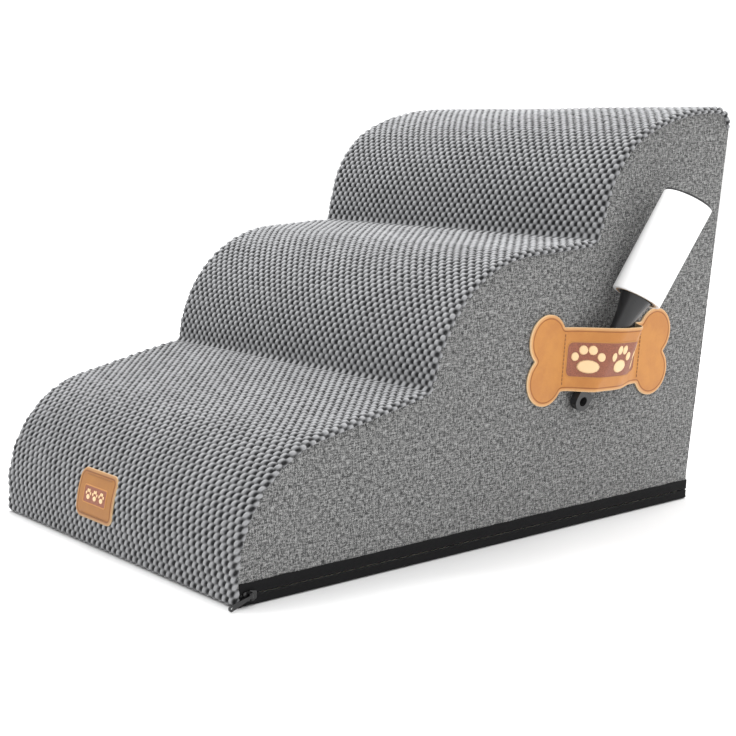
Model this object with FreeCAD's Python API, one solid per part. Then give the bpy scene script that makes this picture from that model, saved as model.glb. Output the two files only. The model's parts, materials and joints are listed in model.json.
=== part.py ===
import FreeCAD, Part

# Cushioned three-step pet ramp: a foam core in a zipped fabric cover, with a bumpy plush tread,
# woven sides, a leather badge, and a bone-shaped leather loop that holds a lint roller.
# Millimetres. X runs across the ramp, Y from its low front to its tall back, Z up from the floor.
# The origin is on the floor under the middle of the base.

import math
import os

Vec = FreeCAD.Vector
UP = Vec(0, 0, 1)
ACROSS = Vec(1, 0, 0)

# Overall shape, as seen from the side
RAMP_WIDTH = 400.0
STEP_DEPTHS = (217.0, 212.0, 171.0)
STEP_RISES = (161.0, 119.0, 120.0)
TREAD_SLOPES = (10.8, 2.5)
RISER_SLOPE = 75.6
CROWN_SLOPE = 21.2
CROWN_START_SHARE = 0.70
BACK_LEAN = 23.0
BACK_LEAN_START = 30.0

# Roundings of the side outline
NOSE_RADIUS = 117.0
SHOULDER_RADII = (129.0, 96.0)
CROWN_RADIUS = 250.0
CREASE_RADIUS = 5.0
BACK_EDGE_RADIUS = 20.0
SIDE_SHARE = 0.98
FLOOR_EDGE_RADIUS = 5.0

# Cover
PLUSH_THICKNESS = 5.0
PANEL_THICKNESS = 2.0
BASE_THICKNESS = 3.0
PANEL_SETBACK = 1.0
REAR_SEAM_DROP = 24.0
HEM_DEPTH = 8.0
HEM_GAP = 0.3

# Zip, on the right, back and left sides, just above the floor
ZIP_SLIT_HEIGHT = 10.0
ZIP_SLIT = 1.2
TAPE_THICKNESS = 1.0
TAPE_TOP = 21.0
TAPE_BOTTOM = 1.0
COIL_HEIGHT = 2.8
COIL_THICKNESS = 1.8
PANEL_BOTTOM = 15.5
FOAM_RELIEF_DEPTH = 7.0
FOAM_RELIEF_HEIGHT = 17.0
ZIP_FRONT_GAP = 0.3

# Zip slider and its pull
RUNNING_GAP = 0.3
SLIDER_LENGTH = 14.0
SLIDER_FRONT_SETBACK = 15.0
SLIDER_WIDTH = 9.6
SLIDER_FRONT_SHARE = 0.8
SLIDER_TAIL_SHARE = 0.72
SLIDER_PLATE = 1.6
SLIDER_WEB = 0.6
FLANGE_THICKNESS = 1.2
PIN_RADIUS = 0.8
PIN_FIT = 0.05
KNUCKLE_RADIUS = 1.7
KNUCKLE_HALF_LENGTH = 2.3
EAR_THICKNESS = 0.9
PULL_DROOP = 17.0
PULL_LENGTH = 22.0
PULL_TIP_RADIUS = 3.0
PULL_THICKNESS = 1.4
PULL_HOLE_RADIUS = 1.2

# Front badge
BADGE_WIDTH = 65.0
BADGE_HEIGHT = 46.0
BADGE_CORNER = 9.0
BADGE_THICKNESS = 1.8
BADGE_X = -24.5
BADGE_Z = 51.0

# Stitches
STITCH_LENGTH = 2.6
STITCH_PITCH = 3.8
STITCH_WIDTH = 0.8
STITCH_PROUD = 0.5
BADGE_STITCH_INSET = 4.5

# Bone-shaped leather loop on the right side
BONE_LENGTH = 205.0
BONE_LOBE_RADIUS = 24.5
BONE_LOBE_RISE = 19.0
BONE_BAR_HEIGHT = 61.0
BONE_CORNER = 4.0
BONE_THICKNESS = 2.4
BONE_Y = 145.3
BONE_Z = 168.3
BONE_TILT = -2.3
BONE_SEAM_HALF = 55.5
LOOP_HALF_SPAN = 51.5
LOOP_CLEARANCE = 1.2

# Lint roller: its axis starts at the middle of the roll's lower rim
ROLLER_START_Y = 162.0
ROLLER_START_Z = 225.7
ROLLER_LEAN_BACK = 0.454
ROLLER_LEAN_OUT = 0.158
ROLL_LENGTH = 101.6
ROLL_RADIUS = 24.5
ROLL_WALL_GAP = 0.4
SHEET_BUILD = 3.6
CORE_THICKNESS = 1.5
CORE_FIT = 0.05
DRUM_WALL = 2.2
DRUM_END_GAP = 0.5
DRUM_WEB = 3.0
DRUM_LOWER_WEB = 10.0
DRUM_UPPER_WEB = 88.0
SPINDLE_RADIUS = 5.0
SPINDLE_FIT = 0.05
SPINDLE_SHOULDER = 8.0
SPINDLE_END = 95.0
COLLAR_RADIUS = 15.5
COLLAR_DEPTH = 6.0
CAP_THICKNESS = 1.6
CAP_PLUG_LENGTH = 6.0
RETAINER_RADIUS = 7.6
RETAINER_LENGTH = 2.6
NECK_RADIUS = 8.8
NECK_END = 36.0
GRIP_HALF_THICKNESS = 7.0
GRIP_HALF_WIDTH = 9.5
GRIP_END = 100.0
GRIP_OVERLAP = 0.5
TAIL_CENTRE = 110.0
TAIL_HOLE_RADIUS = 4.6
TAIL_HALF_THICKNESS = 4.0

# Places that follow from the sizes above
HALF_WIDTH = RAMP_WIDTH / 2
RAMP_LENGTH = sum(STEP_DEPTHS)
RAMP_HEIGHT = sum(STEP_RISES)
FRONT_Y = -RAMP_LENGTH / 2
BACK_Y = RAMP_LENGTH / 2
PANEL_OUTER = HALF_WIDTH - PANEL_SETBACK
PANEL_INNER = PANEL_OUTER - PANEL_THICKNESS
REAR_SEAM_Z = RAMP_HEIGHT - REAR_SEAM_DROP
TAPE_OUTER = PANEL_OUTER + TAPE_THICKNESS
ZIP_START_Y = FRONT_Y + PLUSH_THICKNESS + ZIP_FRONT_GAP
SLIT_TOP = ZIP_SLIT_HEIGHT + ZIP_SLIT / 2
SLIT_BOTTOM = ZIP_SLIT_HEIGHT - ZIP_SLIT / 2
SLIDER_Y = FRONT_Y + SLIDER_FRONT_SETBACK
EVERYWHERE = 2000.0


def box(low, high):
    """A block between two opposite corners."""
    size = Vec(*high) - Vec(*low)
    return Part.makeBox(size.x, size.y, size.z, Vec(*low))


def join(solids):
    """One solid from overlapping or touching ones."""
    merged = solids[0].fuse(solids[1:])
    return merged.removeSplitter()


def side_lines(plush, back, base):
    """The side outline's straight runs in order, up the front, over the steps and down the back.

    Each is a point (y, z), a direction in degrees and the depth it is set in from the outside.
    """
    crease_1 = (FRONT_Y + STEP_DEPTHS[0], STEP_RISES[0])
    crease_2 = (crease_1[0] + STEP_DEPTHS[1], crease_1[1] + STEP_RISES[1])
    crown_rise = CROWN_START_SHARE * STEP_RISES[2]
    crown_run = crown_rise / math.tan(math.radians(RISER_SLOPE))
    crown_start = (crease_2[0] + crown_run, crease_2[1] + crown_rise)
    lean = math.degrees(math.atan2(BACK_LEAN, RAMP_HEIGHT - BACK_LEAN_START))
    return [
        ((FRONT_Y, 0.0), 90.0, plush),
        (crease_1, TREAD_SLOPES[0], plush),
        (crease_1, RISER_SLOPE, plush),
        (crease_2, TREAD_SLOPES[1], plush),
        (crease_2, RISER_SLOPE, plush),
        (crown_start, CROWN_SLOPE, plush),
        ((0.0, RAMP_HEIGHT), 0.0, plush),
        ((BACK_Y, BACK_LEAN_START), -90.0 - lean, back),
        ((BACK_Y, 0.0), -90.0, back),
        ((0.0, 0.0), 180.0, base),
    ]


def crossing(line_a, line_b):
    """The point where two set-in lines meet."""
    (ay, az), a_deg, a_in = line_a
    (by, bz), b_deg, b_in = line_b
    a = math.radians(a_deg)
    b = math.radians(b_deg)
    a_level = ay * math.sin(a) - az * math.cos(a) + a_in
    b_level = by * math.sin(b) - bz * math.cos(b) + b_in
    turn = math.sin(b - a)
    y = (math.cos(a) * b_level - math.cos(b) * a_level) / turn
    z = (math.sin(a) * b_level - math.sin(b) * a_level) / turn
    return Vec(0, y, z)


def side_face(plush=0.0, back=0.0, base=0.0):
    """The side outline with rounded corners, as a face in the plane x = 0, set in from outside."""
    lines = side_lines(plush, back, base)
    hollow = CREASE_RADIUS + plush
    radii = [
        NOSE_RADIUS - plush,
        hollow,
        SHOULDER_RADII[0] - plush,
        hollow,
        SHOULDER_RADII[1] - plush,
        CROWN_RADIUS - plush,
        BACK_EDGE_RADIUS - plush,
        0.0,
        max(FLOOR_EDGE_RADIUS - base, 0.0),
        max(FLOOR_EDGE_RADIUS - plush, 0.0),
    ]
    count = len(lines)
    corners = [crossing(lines[i], lines[(i + 1) % count]) for i in range(count)]
    return Part.Face(rounded_wire(corners, radii))


def rounded_wire(corners, radii):
    """A closed wire through the corners, each rounded by its radius.

    Two roundings that need more than SIDE_SHARE of the side between them are scaled down to share it.
    """
    count = len(corners)
    sides = [corners[(i + 1) % count] - corners[i] for i in range(count)]
    halves = [(sides[i - 1] * -1).getAngle(sides[i]) / 2 for i in range(count)]
    wanted = [radii[i] / math.tan(halves[i]) for i in range(count)]
    shares = []
    for i in range(count):
        needed = wanted[i] + wanted[(i + 1) % count]
        room = SIDE_SHARE * sides[i].Length
        shares.append(room / needed if needed > room else 1.0)
    starts = []
    ends = []
    middles = []
    for i in range(count):
        corner = corners[i]
        back = corners[i - 1] - corner
        ahead = corners[(i + 1) % count] - corner
        half = halves[i]
        reach = wanted[i] * min(shares[i - 1], shares[i])
        radius = reach * math.tan(half)
        back.normalize()
        ahead.normalize()
        starts.append(corner + back * reach)
        ends.append(corner + ahead * reach)
        inward = back + ahead
        if radius > 0:
            inward.normalize()
            middles.append(corner + inward * (radius / math.sin(half) - radius))
        else:
            middles.append(corner)
    edges = []
    for i in range(count):
        if radii[i] > 0:
            edges.append(Part.Arc(starts[i], middles[i], ends[i]).toShape())
        edges.append(Part.LineSegment(ends[i], starts[(i + 1) % count]).toShape())
    return Part.Wire(edges)


def across(face, x_low, x_high):
    """A side outline carried across the ramp between two x values."""
    placed = face.copy()
    placed.translate(ACROSS * x_low)
    return placed.extrude(ACROSS * (x_high - x_low))


def tread_cover():
    """Plush panel from the front hem, over every step, to the seam below the top back edge."""
    skin = across(side_face(), -HALF_WIDTH, HALF_WIDTH)
    hollow = across(side_face(PLUSH_THICKNESS, PLUSH_THICKNESS, PLUSH_THICKNESS), -HALF_WIDTH, HALF_WIDTH)
    below_hem = box((-EVERYWHERE, -EVERYWHERE, -1), (EVERYWHERE, EVERYWHERE, BASE_THICKNESS))
    base_strip = box(
        (-EVERYWHERE, FRONT_Y + PLUSH_THICKNESS, -1), (EVERYWHERE, EVERYWHERE, 2 * PLUSH_THICKNESS)
    )
    back_strip = box(
        (-EVERYWHERE, BACK_Y - BACK_EDGE_RADIUS, -1), (EVERYWHERE, EVERYWHERE, REAR_SEAM_Z)
    )
    return skin.cut(hollow).cut(below_hem).cut(base_strip).cut(back_strip)


def enclosed(x_low, x_high):
    """What the cover encloses between two x values."""
    outline = side_face(PLUSH_THICKNESS, PANEL_THICKNESS, BASE_THICKNESS)
    return across(outline, x_low, x_high).cut(tread_cover())


def foam_core():
    """Cut foam block, relieved along its lower side and back edges to make room for the zip."""
    block = enclosed(-PANEL_INNER, PANEL_INNER)
    relief_x = PANEL_OUTER - FOAM_RELIEF_DEPTH
    relief_y = BACK_Y - FOAM_RELIEF_DEPTH
    kept = box((-relief_x, -EVERYWHERE, -1), (relief_x, relief_y, FOAM_RELIEF_HEIGHT))
    upper = box((-EVERYWHERE, -EVERYWHERE, FOAM_RELIEF_HEIGHT), (EVERYWHERE, EVERYWHERE, EVERYWHERE))
    return block.common(join([kept, upper]))


def side_panel(side):
    """Woven side panel between the plush and the zip; side is 1 for +X and -1 for -X."""
    low, high = sorted((side * PANEL_INNER, side * PANEL_OUTER))
    below = box((-EVERYWHERE, -EVERYWHERE, -1), (EVERYWHERE, EVERYWHERE, PANEL_BOTTOM))
    return enclosed(low, high).cut(below)


def back_panel():
    """Woven back panel, leaning with the back face, from the zip up to the rear seam."""
    outer = across(side_face(), -PANEL_OUTER, PANEL_OUTER)
    inner = across(side_face(0.0, PANEL_THICKNESS, 0.0), -EVERYWHERE, EVERYWHERE)
    zone = box(
        (-EVERYWHERE, BACK_Y - BACK_EDGE_RADIUS, PANEL_BOTTOM), (EVERYWHERE, EVERYWHERE, REAR_SEAM_Z)
    )
    return outer.cut(inner).common(zone)


def front_hem():
    """Narrow binding that joins the plush to the base along the front bottom edge."""
    low = (-PANEL_OUTER, FRONT_Y + HEM_GAP, 0.0)
    return box(low, (PANEL_OUTER, FRONT_Y + HEM_DEPTH, BASE_THICKNESS))


def base_panel():
    """Non-slip bottom panel, from the front hem to the back."""
    low = (-PANEL_OUTER, FRONT_Y + HEM_DEPTH, 0.0)
    return box(low, (PANEL_OUTER, BACK_Y, BASE_THICKNESS))


def zip_band(x_inner, x_outer, z_low, z_high, corner):
    """A band round the right, back and left sides, open at the front, between two offsets."""
    back_inner = BACK_Y + x_inner - PANEL_OUTER
    back_outer = BACK_Y + x_outer - PANEL_OUTER
    height = z_high - z_low
    outside = box((-x_outer, ZIP_START_Y, z_low), (x_outer, back_outer, z_high))
    rear = [e for e in outside.Edges if e.BoundBox.ZLength > height / 2 and e.BoundBox.YMin > 0]
    outside = outside.makeFillet(corner, rear)
    inside = box((-x_inner, ZIP_START_Y - 1, z_low - 1), (x_inner, back_inner, z_high + 1))
    return outside.cut(inside)


def zip_tape_upper():
    """Tape sewn over the lower edge of the side and back panels."""
    return zip_band(PANEL_OUTER, TAPE_OUTER, SLIT_TOP, TAPE_TOP, TAPE_THICKNESS)


def zip_tape_lower():
    """Tape sewn to the edge of the base panel."""
    return zip_band(PANEL_OUTER, TAPE_OUTER, TAPE_BOTTOM, SLIT_BOTTOM, TAPE_THICKNESS)


def zip_coil(z_low):
    """One row of the zip's coil, behind its tape."""
    inner = PANEL_OUTER - COIL_THICKNESS
    return zip_band(inner, PANEL_OUTER, z_low, z_low + COIL_HEIGHT, COIL_THICKNESS / 2)


def zip_stops():
    """The two end stops, one at each front end of the zip."""
    stops = []
    for side in (1, -1):
        low, high = sorted((side * TAPE_OUTER, side * (TAPE_OUTER + TAPE_THICKNESS)))
        y_end = ZIP_START_Y + 2 * TAPE_THICKNESS
        head = box((low, ZIP_START_Y, SLIT_BOTTOM - ZIP_SLIT), (high, y_end, SLIT_TOP + ZIP_SLIT))
        low, high = sorted((side * (PANEL_OUTER - COIL_THICKNESS), side * TAPE_OUTER))
        root = box((low, ZIP_START_Y, SLIT_BOTTOM), (high, y_end, SLIT_TOP))
        stops.append(join([head, root]))
    return Part.makeCompound(stops)


def pull_directions():
    """The pull's length direction and its hinge axis: it droops forwards, down to the floor."""
    droop = math.radians(PULL_DROOP)
    along = Vec(0, -math.cos(droop), -math.sin(droop))
    axis = Vec(0, -math.sin(droop), math.cos(droop))
    return along, axis


def pin_centre():
    """Middle of the pin that the pull hangs on."""
    plate_top = TAPE_OUTER + RUNNING_GAP + SLIDER_PLATE
    return Vec(plate_top + RUNNING_GAP + KNUCKLE_RADIUS, SLIDER_Y, ZIP_SLIT_HEIGHT)


def slider_plate(x_low):
    """One of the slider's two plates, wide at its front end and narrow at the closed end."""
    half = SLIDER_LENGTH / 2
    wide = SLIDER_WIDTH / 2
    front = SLIDER_FRONT_SHARE * wide
    tail = SLIDER_TAIL_SHARE * wide
    plan = [(-half, -front), (-half, front), (0, wide), (half, tail), (half, -tail), (0, -wide)]
    corners = [Vec(x_low, SLIDER_Y + y, ZIP_SLIT_HEIGHT + z) for y, z in plan]
    end = SLIDER_PLATE
    waist = SLIDER_LENGTH / 3
    radii = [end, end, waist, end, end, waist]
    return Part.Face(rounded_wire(corners, radii)).extrude(ACROSS * SLIDER_PLATE)


def zip_slider():
    """Slider body: plates in front of the tapes and behind the coils, a web through the slit,
    flanges over the coils' outer edges, and two ears with the pin for the pull."""
    front_plate = slider_plate(TAPE_OUTER + RUNNING_GAP)
    inner_face = PANEL_OUTER - COIL_THICKNESS - RUNNING_GAP
    rear_plate = slider_plate(inner_face - SLIDER_PLATE)
    web = box(
        (inner_face - SLIDER_PLATE / 2, SLIDER_Y - SLIDER_LENGTH / 3, ZIP_SLIT_HEIGHT - SLIDER_WEB / 2),
        (TAPE_OUTER + SLIDER_PLATE, SLIDER_Y, ZIP_SLIT_HEIGHT + SLIDER_WEB / 2),
    )
    coil_edge = ZIP_SLIT / 2 + COIL_HEIGHT + RUNNING_GAP
    flanges = []
    for sign in (1, -1):
        z_near = ZIP_SLIT_HEIGHT + sign * coil_edge
        z_low, z_high = sorted((z_near, z_near + sign * FLANGE_THICKNESS))
        low = (inner_face - SLIDER_PLATE, SLIDER_Y - SLIDER_LENGTH / 4, z_low)
        high = (PANEL_OUTER - RUNNING_GAP, SLIDER_Y + SLIDER_LENGTH / 4, z_high)
        flanges.append(box(low, high))
    return join([front_plate, rear_plate, web] + flanges + slider_ears())


def slider_ears():
    """Two ears on the front plate and the pin between them."""
    axis = pull_directions()[1]
    centre = pin_centre()
    inner = KNUCKLE_HALF_LENGTH + RUNNING_GAP
    foot = centre.x - TAPE_OUTER - RUNNING_GAP - SLIDER_PLATE / 2
    parts = []
    for sign in (1, -1):
        start = centre + axis * (inner if sign > 0 else -inner - EAR_THICKNESS)
        round_end = Part.makeCylinder(KNUCKLE_RADIUS, EAR_THICKNESS, start, axis)
        leg = Part.makeBox(foot, 2 * KNUCKLE_RADIUS, EAR_THICKNESS)
        leg.translate(Vec(-foot, -KNUCKLE_RADIUS, 0))
        leg.rotate(Vec(0, 0, 0), ACROSS, PULL_DROOP)
        leg.translate(start)
        parts += [round_end, leg]
    pin_start = centre - axis * (inner + EAR_THICKNESS / 2)
    parts.append(Part.makeCylinder(PIN_RADIUS, 2 * inner + EAR_THICKNESS, pin_start, axis))
    return parts


def zip_pull():
    """Tapered pull with a small hole near its rounded tip, on a knuckle round the pin."""
    axis = pull_directions()[1]
    centre = pin_centre()
    knuckle_length = 2 * KNUCKLE_HALF_LENGTH
    knuckle = Part.makeCylinder(
        KNUCKLE_RADIUS, knuckle_length, centre - axis * KNUCKLE_HALF_LENGTH, axis
    )
    neck = KNUCKLE_HALF_LENGTH - PIN_RADIUS
    neck_end = -2 * KNUCKLE_RADIUS
    tip_end = -PULL_LENGTH - PULL_TIP_RADIUS
    plan = [
        (-PIN_RADIUS, -neck),
        (-PIN_RADIUS, neck),
        (neck_end, neck),
        (tip_end, PULL_TIP_RADIUS),
        (tip_end, -PULL_TIP_RADIUS),
        (neck_end, -neck),
    ]
    corners = [Vec(-PULL_THICKNESS / 2, y, z) for y, z in plan]
    tip = PULL_TIP_RADIUS
    soft = PULL_HOLE_RADIUS
    outline = rounded_wire(corners, [0.0, 0.0, soft, tip, tip, soft])
    blade = Part.Face(outline).extrude(ACROSS * PULL_THICKNESS)
    hole_start = Vec(-PULL_THICKNESS, -PULL_LENGTH, 0)
    blade = blade.cut(Part.makeCylinder(PULL_HOLE_RADIUS, 2 * PULL_THICKNESS, hole_start, ACROSS))
    blade.rotate(Vec(0, 0, 0), ACROSS, PULL_DROOP)
    blade.translate(centre)
    bore_start = centre - axis * (2 * KNUCKLE_HALF_LENGTH)
    bore = Part.makeCylinder(PIN_RADIUS + PIN_FIT, 2 * knuckle_length, bore_start, axis)
    return join([knuckle, blade]).cut(bore)


def over_plush(low_depth, high_depth, x_low, x_high):
    """A layer lying on the plush, between two heights above it."""
    outer = across(side_face(-high_depth), x_low, x_high)
    return outer.cut(across(side_face(-low_depth), x_low - 1, x_high + 1))


def front_badge():
    """Square leather badge with round corners, lying on the first step's nose."""
    x_low = BADGE_X - BADGE_WIDTH / 2
    layer = over_plush(0.0, BADGE_THICKNESS, x_low, x_low + BADGE_WIDTH)
    z_low = BADGE_Z - BADGE_HEIGHT / 2
    reach = NOSE_RADIUS
    block = box(
        (x_low, FRONT_Y - reach, z_low), (x_low + BADGE_WIDTH, FRONT_Y + reach, z_low + BADGE_HEIGHT)
    )
    block = block.makeFillet(BADGE_CORNER, [e for e in block.Edges if e.BoundBox.YLength > reach])
    return layer.common(block)


def badge_stitching():
    """Two rows of stitches, along the badge's top and bottom edges."""
    half_row = BADGE_WIDTH / 2 - BADGE_CORNER
    count = int(2 * half_row / STITCH_PITCH)
    top = BADGE_THICKNESS + STITCH_PROUD
    layer = over_plush(BADGE_THICKNESS, top, BADGE_X - half_row, BADGE_X + half_row)
    stitches = []
    for sign in (1, -1):
        z = BADGE_Z + sign * (BADGE_HEIGHT / 2 - BADGE_STITCH_INSET)
        for i in range(count):
            x = BADGE_X + (i + 0.5 - count / 2) * STITCH_PITCH
            low = (x - STITCH_LENGTH / 2, FRONT_Y - NOSE_RADIUS, z - STITCH_WIDTH / 2)
            high = (x + STITCH_LENGTH / 2, FRONT_Y + NOSE_RADIUS, z + STITCH_WIDTH / 2)
            stitches.append(layer.common(box(low, high)))
    return Part.makeCompound([s for group in stitches for s in group.Solids])


def roller_direction():
    """Unit vector along the lint roller's axis, from its handle to its outer end."""
    up = math.sqrt(1 - ROLLER_LEAN_OUT ** 2 - ROLLER_LEAN_BACK ** 2)
    return Vec(ROLLER_LEAN_OUT, ROLLER_LEAN_BACK, up)


def roller_start():
    """Middle of the roll's lower rim, set so that the rim just clears the side panel."""
    rim = ROLL_RADIUS * math.sqrt(1 - ROLLER_LEAN_OUT ** 2)
    return Vec(PANEL_OUTER + ROLL_WALL_GAP + rim, ROLLER_START_Y, ROLLER_START_Z)


def place_on_roller(shape):
    """Carries a shape built along +Z, with +X facing out of the panel, to the roller's axis."""
    axis = roller_direction()
    out = ACROSS - axis * axis.dot(ACROSS)
    out.normalize()
    sideways = axis.cross(out)
    turn = FreeCAD.Matrix(
        out.x, sideways.x, axis.x, 0, out.y, sideways.y, axis.y, 0, out.z, sideways.z, axis.z, 0, 0, 0, 0, 1
    )
    placed = shape.copy()
    placed.Placement = FreeCAD.Placement(roller_start(), FreeCAD.Placement(turn).Rotation)
    return placed


def tube(outer, inner, low, high):
    """A ring section along +Z between two heights."""
    ring = Part.makeCylinder(outer, high - low, Vec(0, 0, low))
    if inner <= 0:
        return ring
    return ring.cut(Part.makeCylinder(inner, high - low + 2, Vec(0, 0, low - 1)))


CORE_OUTER = ROLL_RADIUS - SHEET_BUILD
CORE_INNER = CORE_OUTER - CORE_THICKNESS
DRUM_OUTER = CORE_INNER - CORE_FIT
DRUM_INNER = DRUM_OUTER - DRUM_WALL


def adhesive_sheets():
    """Wound adhesive paper."""
    return place_on_roller(tube(ROLL_RADIUS, CORE_OUTER, 0.0, ROLL_LENGTH))


def cardboard_core():
    """Tube that the paper is wound on."""
    return place_on_roller(tube(CORE_OUTER, CORE_INNER, 0.0, ROLL_LENGTH))


def roller_drum():
    """Plastic sleeve inside the core, with two webs that run on the spindle."""
    sleeve = tube(DRUM_OUTER, DRUM_INNER, DRUM_END_GAP, ROLL_LENGTH)
    bore = SPINDLE_RADIUS + SPINDLE_FIT
    overlap = DRUM_WALL / 2
    webs = [tube(DRUM_INNER + overlap, bore, z, z + DRUM_WEB) for z in (DRUM_LOWER_WEB, DRUM_UPPER_WEB)]
    return place_on_roller(join([sleeve] + webs))


def roller_end_cap():
    """Thin cap over the roll's outer end, plugged into the drum."""
    disc = tube(ROLL_RADIUS - DRUM_END_GAP, 0.0, ROLL_LENGTH, ROLL_LENGTH + CAP_THICKNESS)
    plug = tube(DRUM_INNER - CORE_FIT, DRUM_INNER - DRUM_WALL, ROLL_LENGTH - CAP_PLUG_LENGTH, ROLL_LENGTH)
    return place_on_roller(join([disc, plug]))


def spindle_retainer():
    """Push-on ring that keeps the drum on the spindle."""
    low = DRUM_UPPER_WEB + DRUM_WEB + RUNNING_GAP
    return place_on_roller(tube(RETAINER_RADIUS, SPINDLE_RADIUS, low, low + RETAINER_LENGTH))


def neck_profile():
    """Solid of revolution for the collar inside the roll and the neck below it."""
    shoulder_top = DRUM_LOWER_WEB - RUNNING_GAP
    neck = Part.BSplineCurve()
    taper = [(0.0, 1.0), (0.25, 0.6), (0.6, 0.2), (1.0, 0.0)]
    flare = COLLAR_RADIUS - NECK_RADIUS
    points = [Vec(NECK_RADIUS + flare * wide, 0, -NECK_END * deep) for deep, wide in taper]
    neck.interpolate(points)
    path = [
        Vec(0, 0, -NECK_END),
        Vec(0, 0, SPINDLE_END),
        Vec(SPINDLE_RADIUS, 0, SPINDLE_END),
        Vec(SPINDLE_RADIUS, 0, shoulder_top),
        Vec(SPINDLE_SHOULDER, 0, shoulder_top),
        Vec(SPINDLE_SHOULDER, 0, COLLAR_DEPTH),
        Vec(COLLAR_RADIUS, 0, COLLAR_DEPTH),
        points[0],
    ]
    edges = [Part.LineSegment(path[i], path[i + 1]).toShape() for i in range(len(path) - 1)]
    edges.append(neck.toShape())
    edges.append(Part.LineSegment(points[-1], path[0]).toShape())
    return Part.Face(Part.Wire(edges)).revolve(Vec(0, 0, 0), UP, 360)


def grip_section(depth, half_thickness, half_width):
    """An oval wire across the grip at a depth below the roll; the width is the longer way."""
    oval = Part.Ellipse(Vec(0, half_width, -depth), Vec(half_thickness, 0, -depth), Vec(0, 0, -depth))
    return Part.Wire([oval.toShape()])


def roller_handle():
    """Handle moulding: spindle, collar, neck, oval grip and a tail with a hanging hole."""
    middle = (NECK_END + GRIP_END) / 2
    end_thickness = (GRIP_HALF_THICKNESS + TAIL_HALF_THICKNESS) / 2
    sections = [
        grip_section(NECK_END - GRIP_OVERLAP, GRIP_HALF_THICKNESS, NECK_RADIUS - GRIP_OVERLAP),
        grip_section(middle, GRIP_HALF_THICKNESS, GRIP_HALF_WIDTH),
        grip_section(GRIP_END, end_thickness, GRIP_HALF_WIDTH),
    ]
    grip = Part.makeLoft(sections, True)
    tail = Part.makeCylinder(
        GRIP_HALF_WIDTH, 2 * TAIL_HALF_THICKNESS, Vec(-TAIL_HALF_THICKNESS, 0, -TAIL_CENTRE), ACROSS
    )
    tail_root = box(
        (-TAIL_HALF_THICKNESS, -GRIP_HALF_WIDTH, -TAIL_CENTRE),
        (TAIL_HALF_THICKNESS, GRIP_HALF_WIDTH, -GRIP_END + GRIP_OVERLAP),
    )
    hole = Part.makeCylinder(
        TAIL_HOLE_RADIUS, 6 * TAIL_HALF_THICKNESS, Vec(-3 * TAIL_HALF_THICKNESS, 0, -TAIL_CENTRE), ACROSS
    )
    body = join([neck_profile(), grip, join([tail, tail_root])])
    return place_on_roller(body.cut(hole))


def loop_curve(z, lift):
    """Points across the loop at height z: up over the lint roller's grip and down again."""
    start = roller_start()
    axis = roller_direction()
    along = (z - start.z) / axis.z
    crest_y = start.y + axis.y * along
    grip_out = max(GRIP_HALF_THICKNESS, NECK_RADIUS) / math.sqrt(1 - ROLLER_LEAN_OUT ** 2)
    crest = start.x + axis.x * along + grip_out + LOOP_CLEARANCE - PANEL_OUTER
    low_y = BONE_Y - LOOP_HALF_SPAN
    high_y = BONE_Y + LOOP_HALF_SPAN
    flank = [(0.0, 0.0), (0.2, 0.2), (0.55, 0.84), (1.0, 1.0)]
    rise = [(low_y + u * (crest_y - low_y), crest * v) for u, v in flank]
    fall = [(high_y + u * (crest_y - high_y), crest * v) for u, v in reversed(flank[:-1])]
    return [Vec(PANEL_OUTER + lift + x, y, z) for y, x in rise + fall]


def loop_section(z, lift):
    """Closed wire at height z, from behind the panel's face out to the loop's curve."""
    points = loop_curve(z, lift)
    curve = Part.BSplineCurve()
    flat = Vec(0, 1, 0)
    curve.interpolate(Points=points, InitialTangent=flat, FinalTangent=flat)
    behind = PANEL_OUTER - BONE_THICKNESS
    front = PANEL_OUTER + lift
    low_y = BONE_Y - BONE_LENGTH
    high_y = BONE_Y + BONE_LENGTH
    corners = [
        points[-1],
        Vec(front, high_y, z),
        Vec(behind, high_y, z),
        Vec(behind, low_y, z),
        Vec(front, low_y, z),
        points[0],
    ]
    edges = [Part.LineSegment(corners[i], corners[i + 1]).toShape() for i in range(len(corners) - 1)]
    return Part.Wire([curve.toShape()] + edges)


def raised_block(lift):
    """Everything from behind the panel's face out to the loop's surface, over the bone's height."""
    margin = BONE_LOBE_RISE + 1.5 * BONE_LOBE_RADIUS
    sections = [loop_section(BONE_Z + sign * margin, lift) for sign in (-1, 1)]
    return Part.makeLoft(sections, True, True)


def bone_outline():
    """A block cut to the bone's outline, seen from the side: a bar with two lobes at each end."""
    far = 0.5 * RAMP_WIDTH
    lobe_y = BONE_LENGTH / 2 - BONE_LOBE_RADIUS
    half_bar = BONE_BAR_HEIGHT / 2
    shapes = [box((0, -lobe_y, -half_bar), (far, lobe_y, half_bar))]
    for y in (-lobe_y, lobe_y):
        for z in (-BONE_LOBE_RISE, BONE_LOBE_RISE):
            shapes.append(Part.makeCylinder(BONE_LOBE_RADIUS, far, Vec(0, y, z), ACROSS))
    outline = join(shapes)
    waist = [
        e
        for e in outline.Edges
        if e.BoundBox.XLength > far / 2 and abs(abs(e.BoundBox.Center.z) - half_bar) < 0.01
    ]
    outline = outline.makeFillet(BONE_CORNER, waist)
    outline.rotate(Vec(0, 0, 0), ACROSS, BONE_TILT)
    outline.translate(Vec(PANEL_OUTER - 1, BONE_Y, BONE_Z))
    return outline


def bone_loop():
    """Bone-shaped leather loop, flat at its lobes and raised in the middle over the grip."""
    return raised_block(BONE_THICKNESS).cut(raised_block(0.0)).common(bone_outline())


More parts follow.
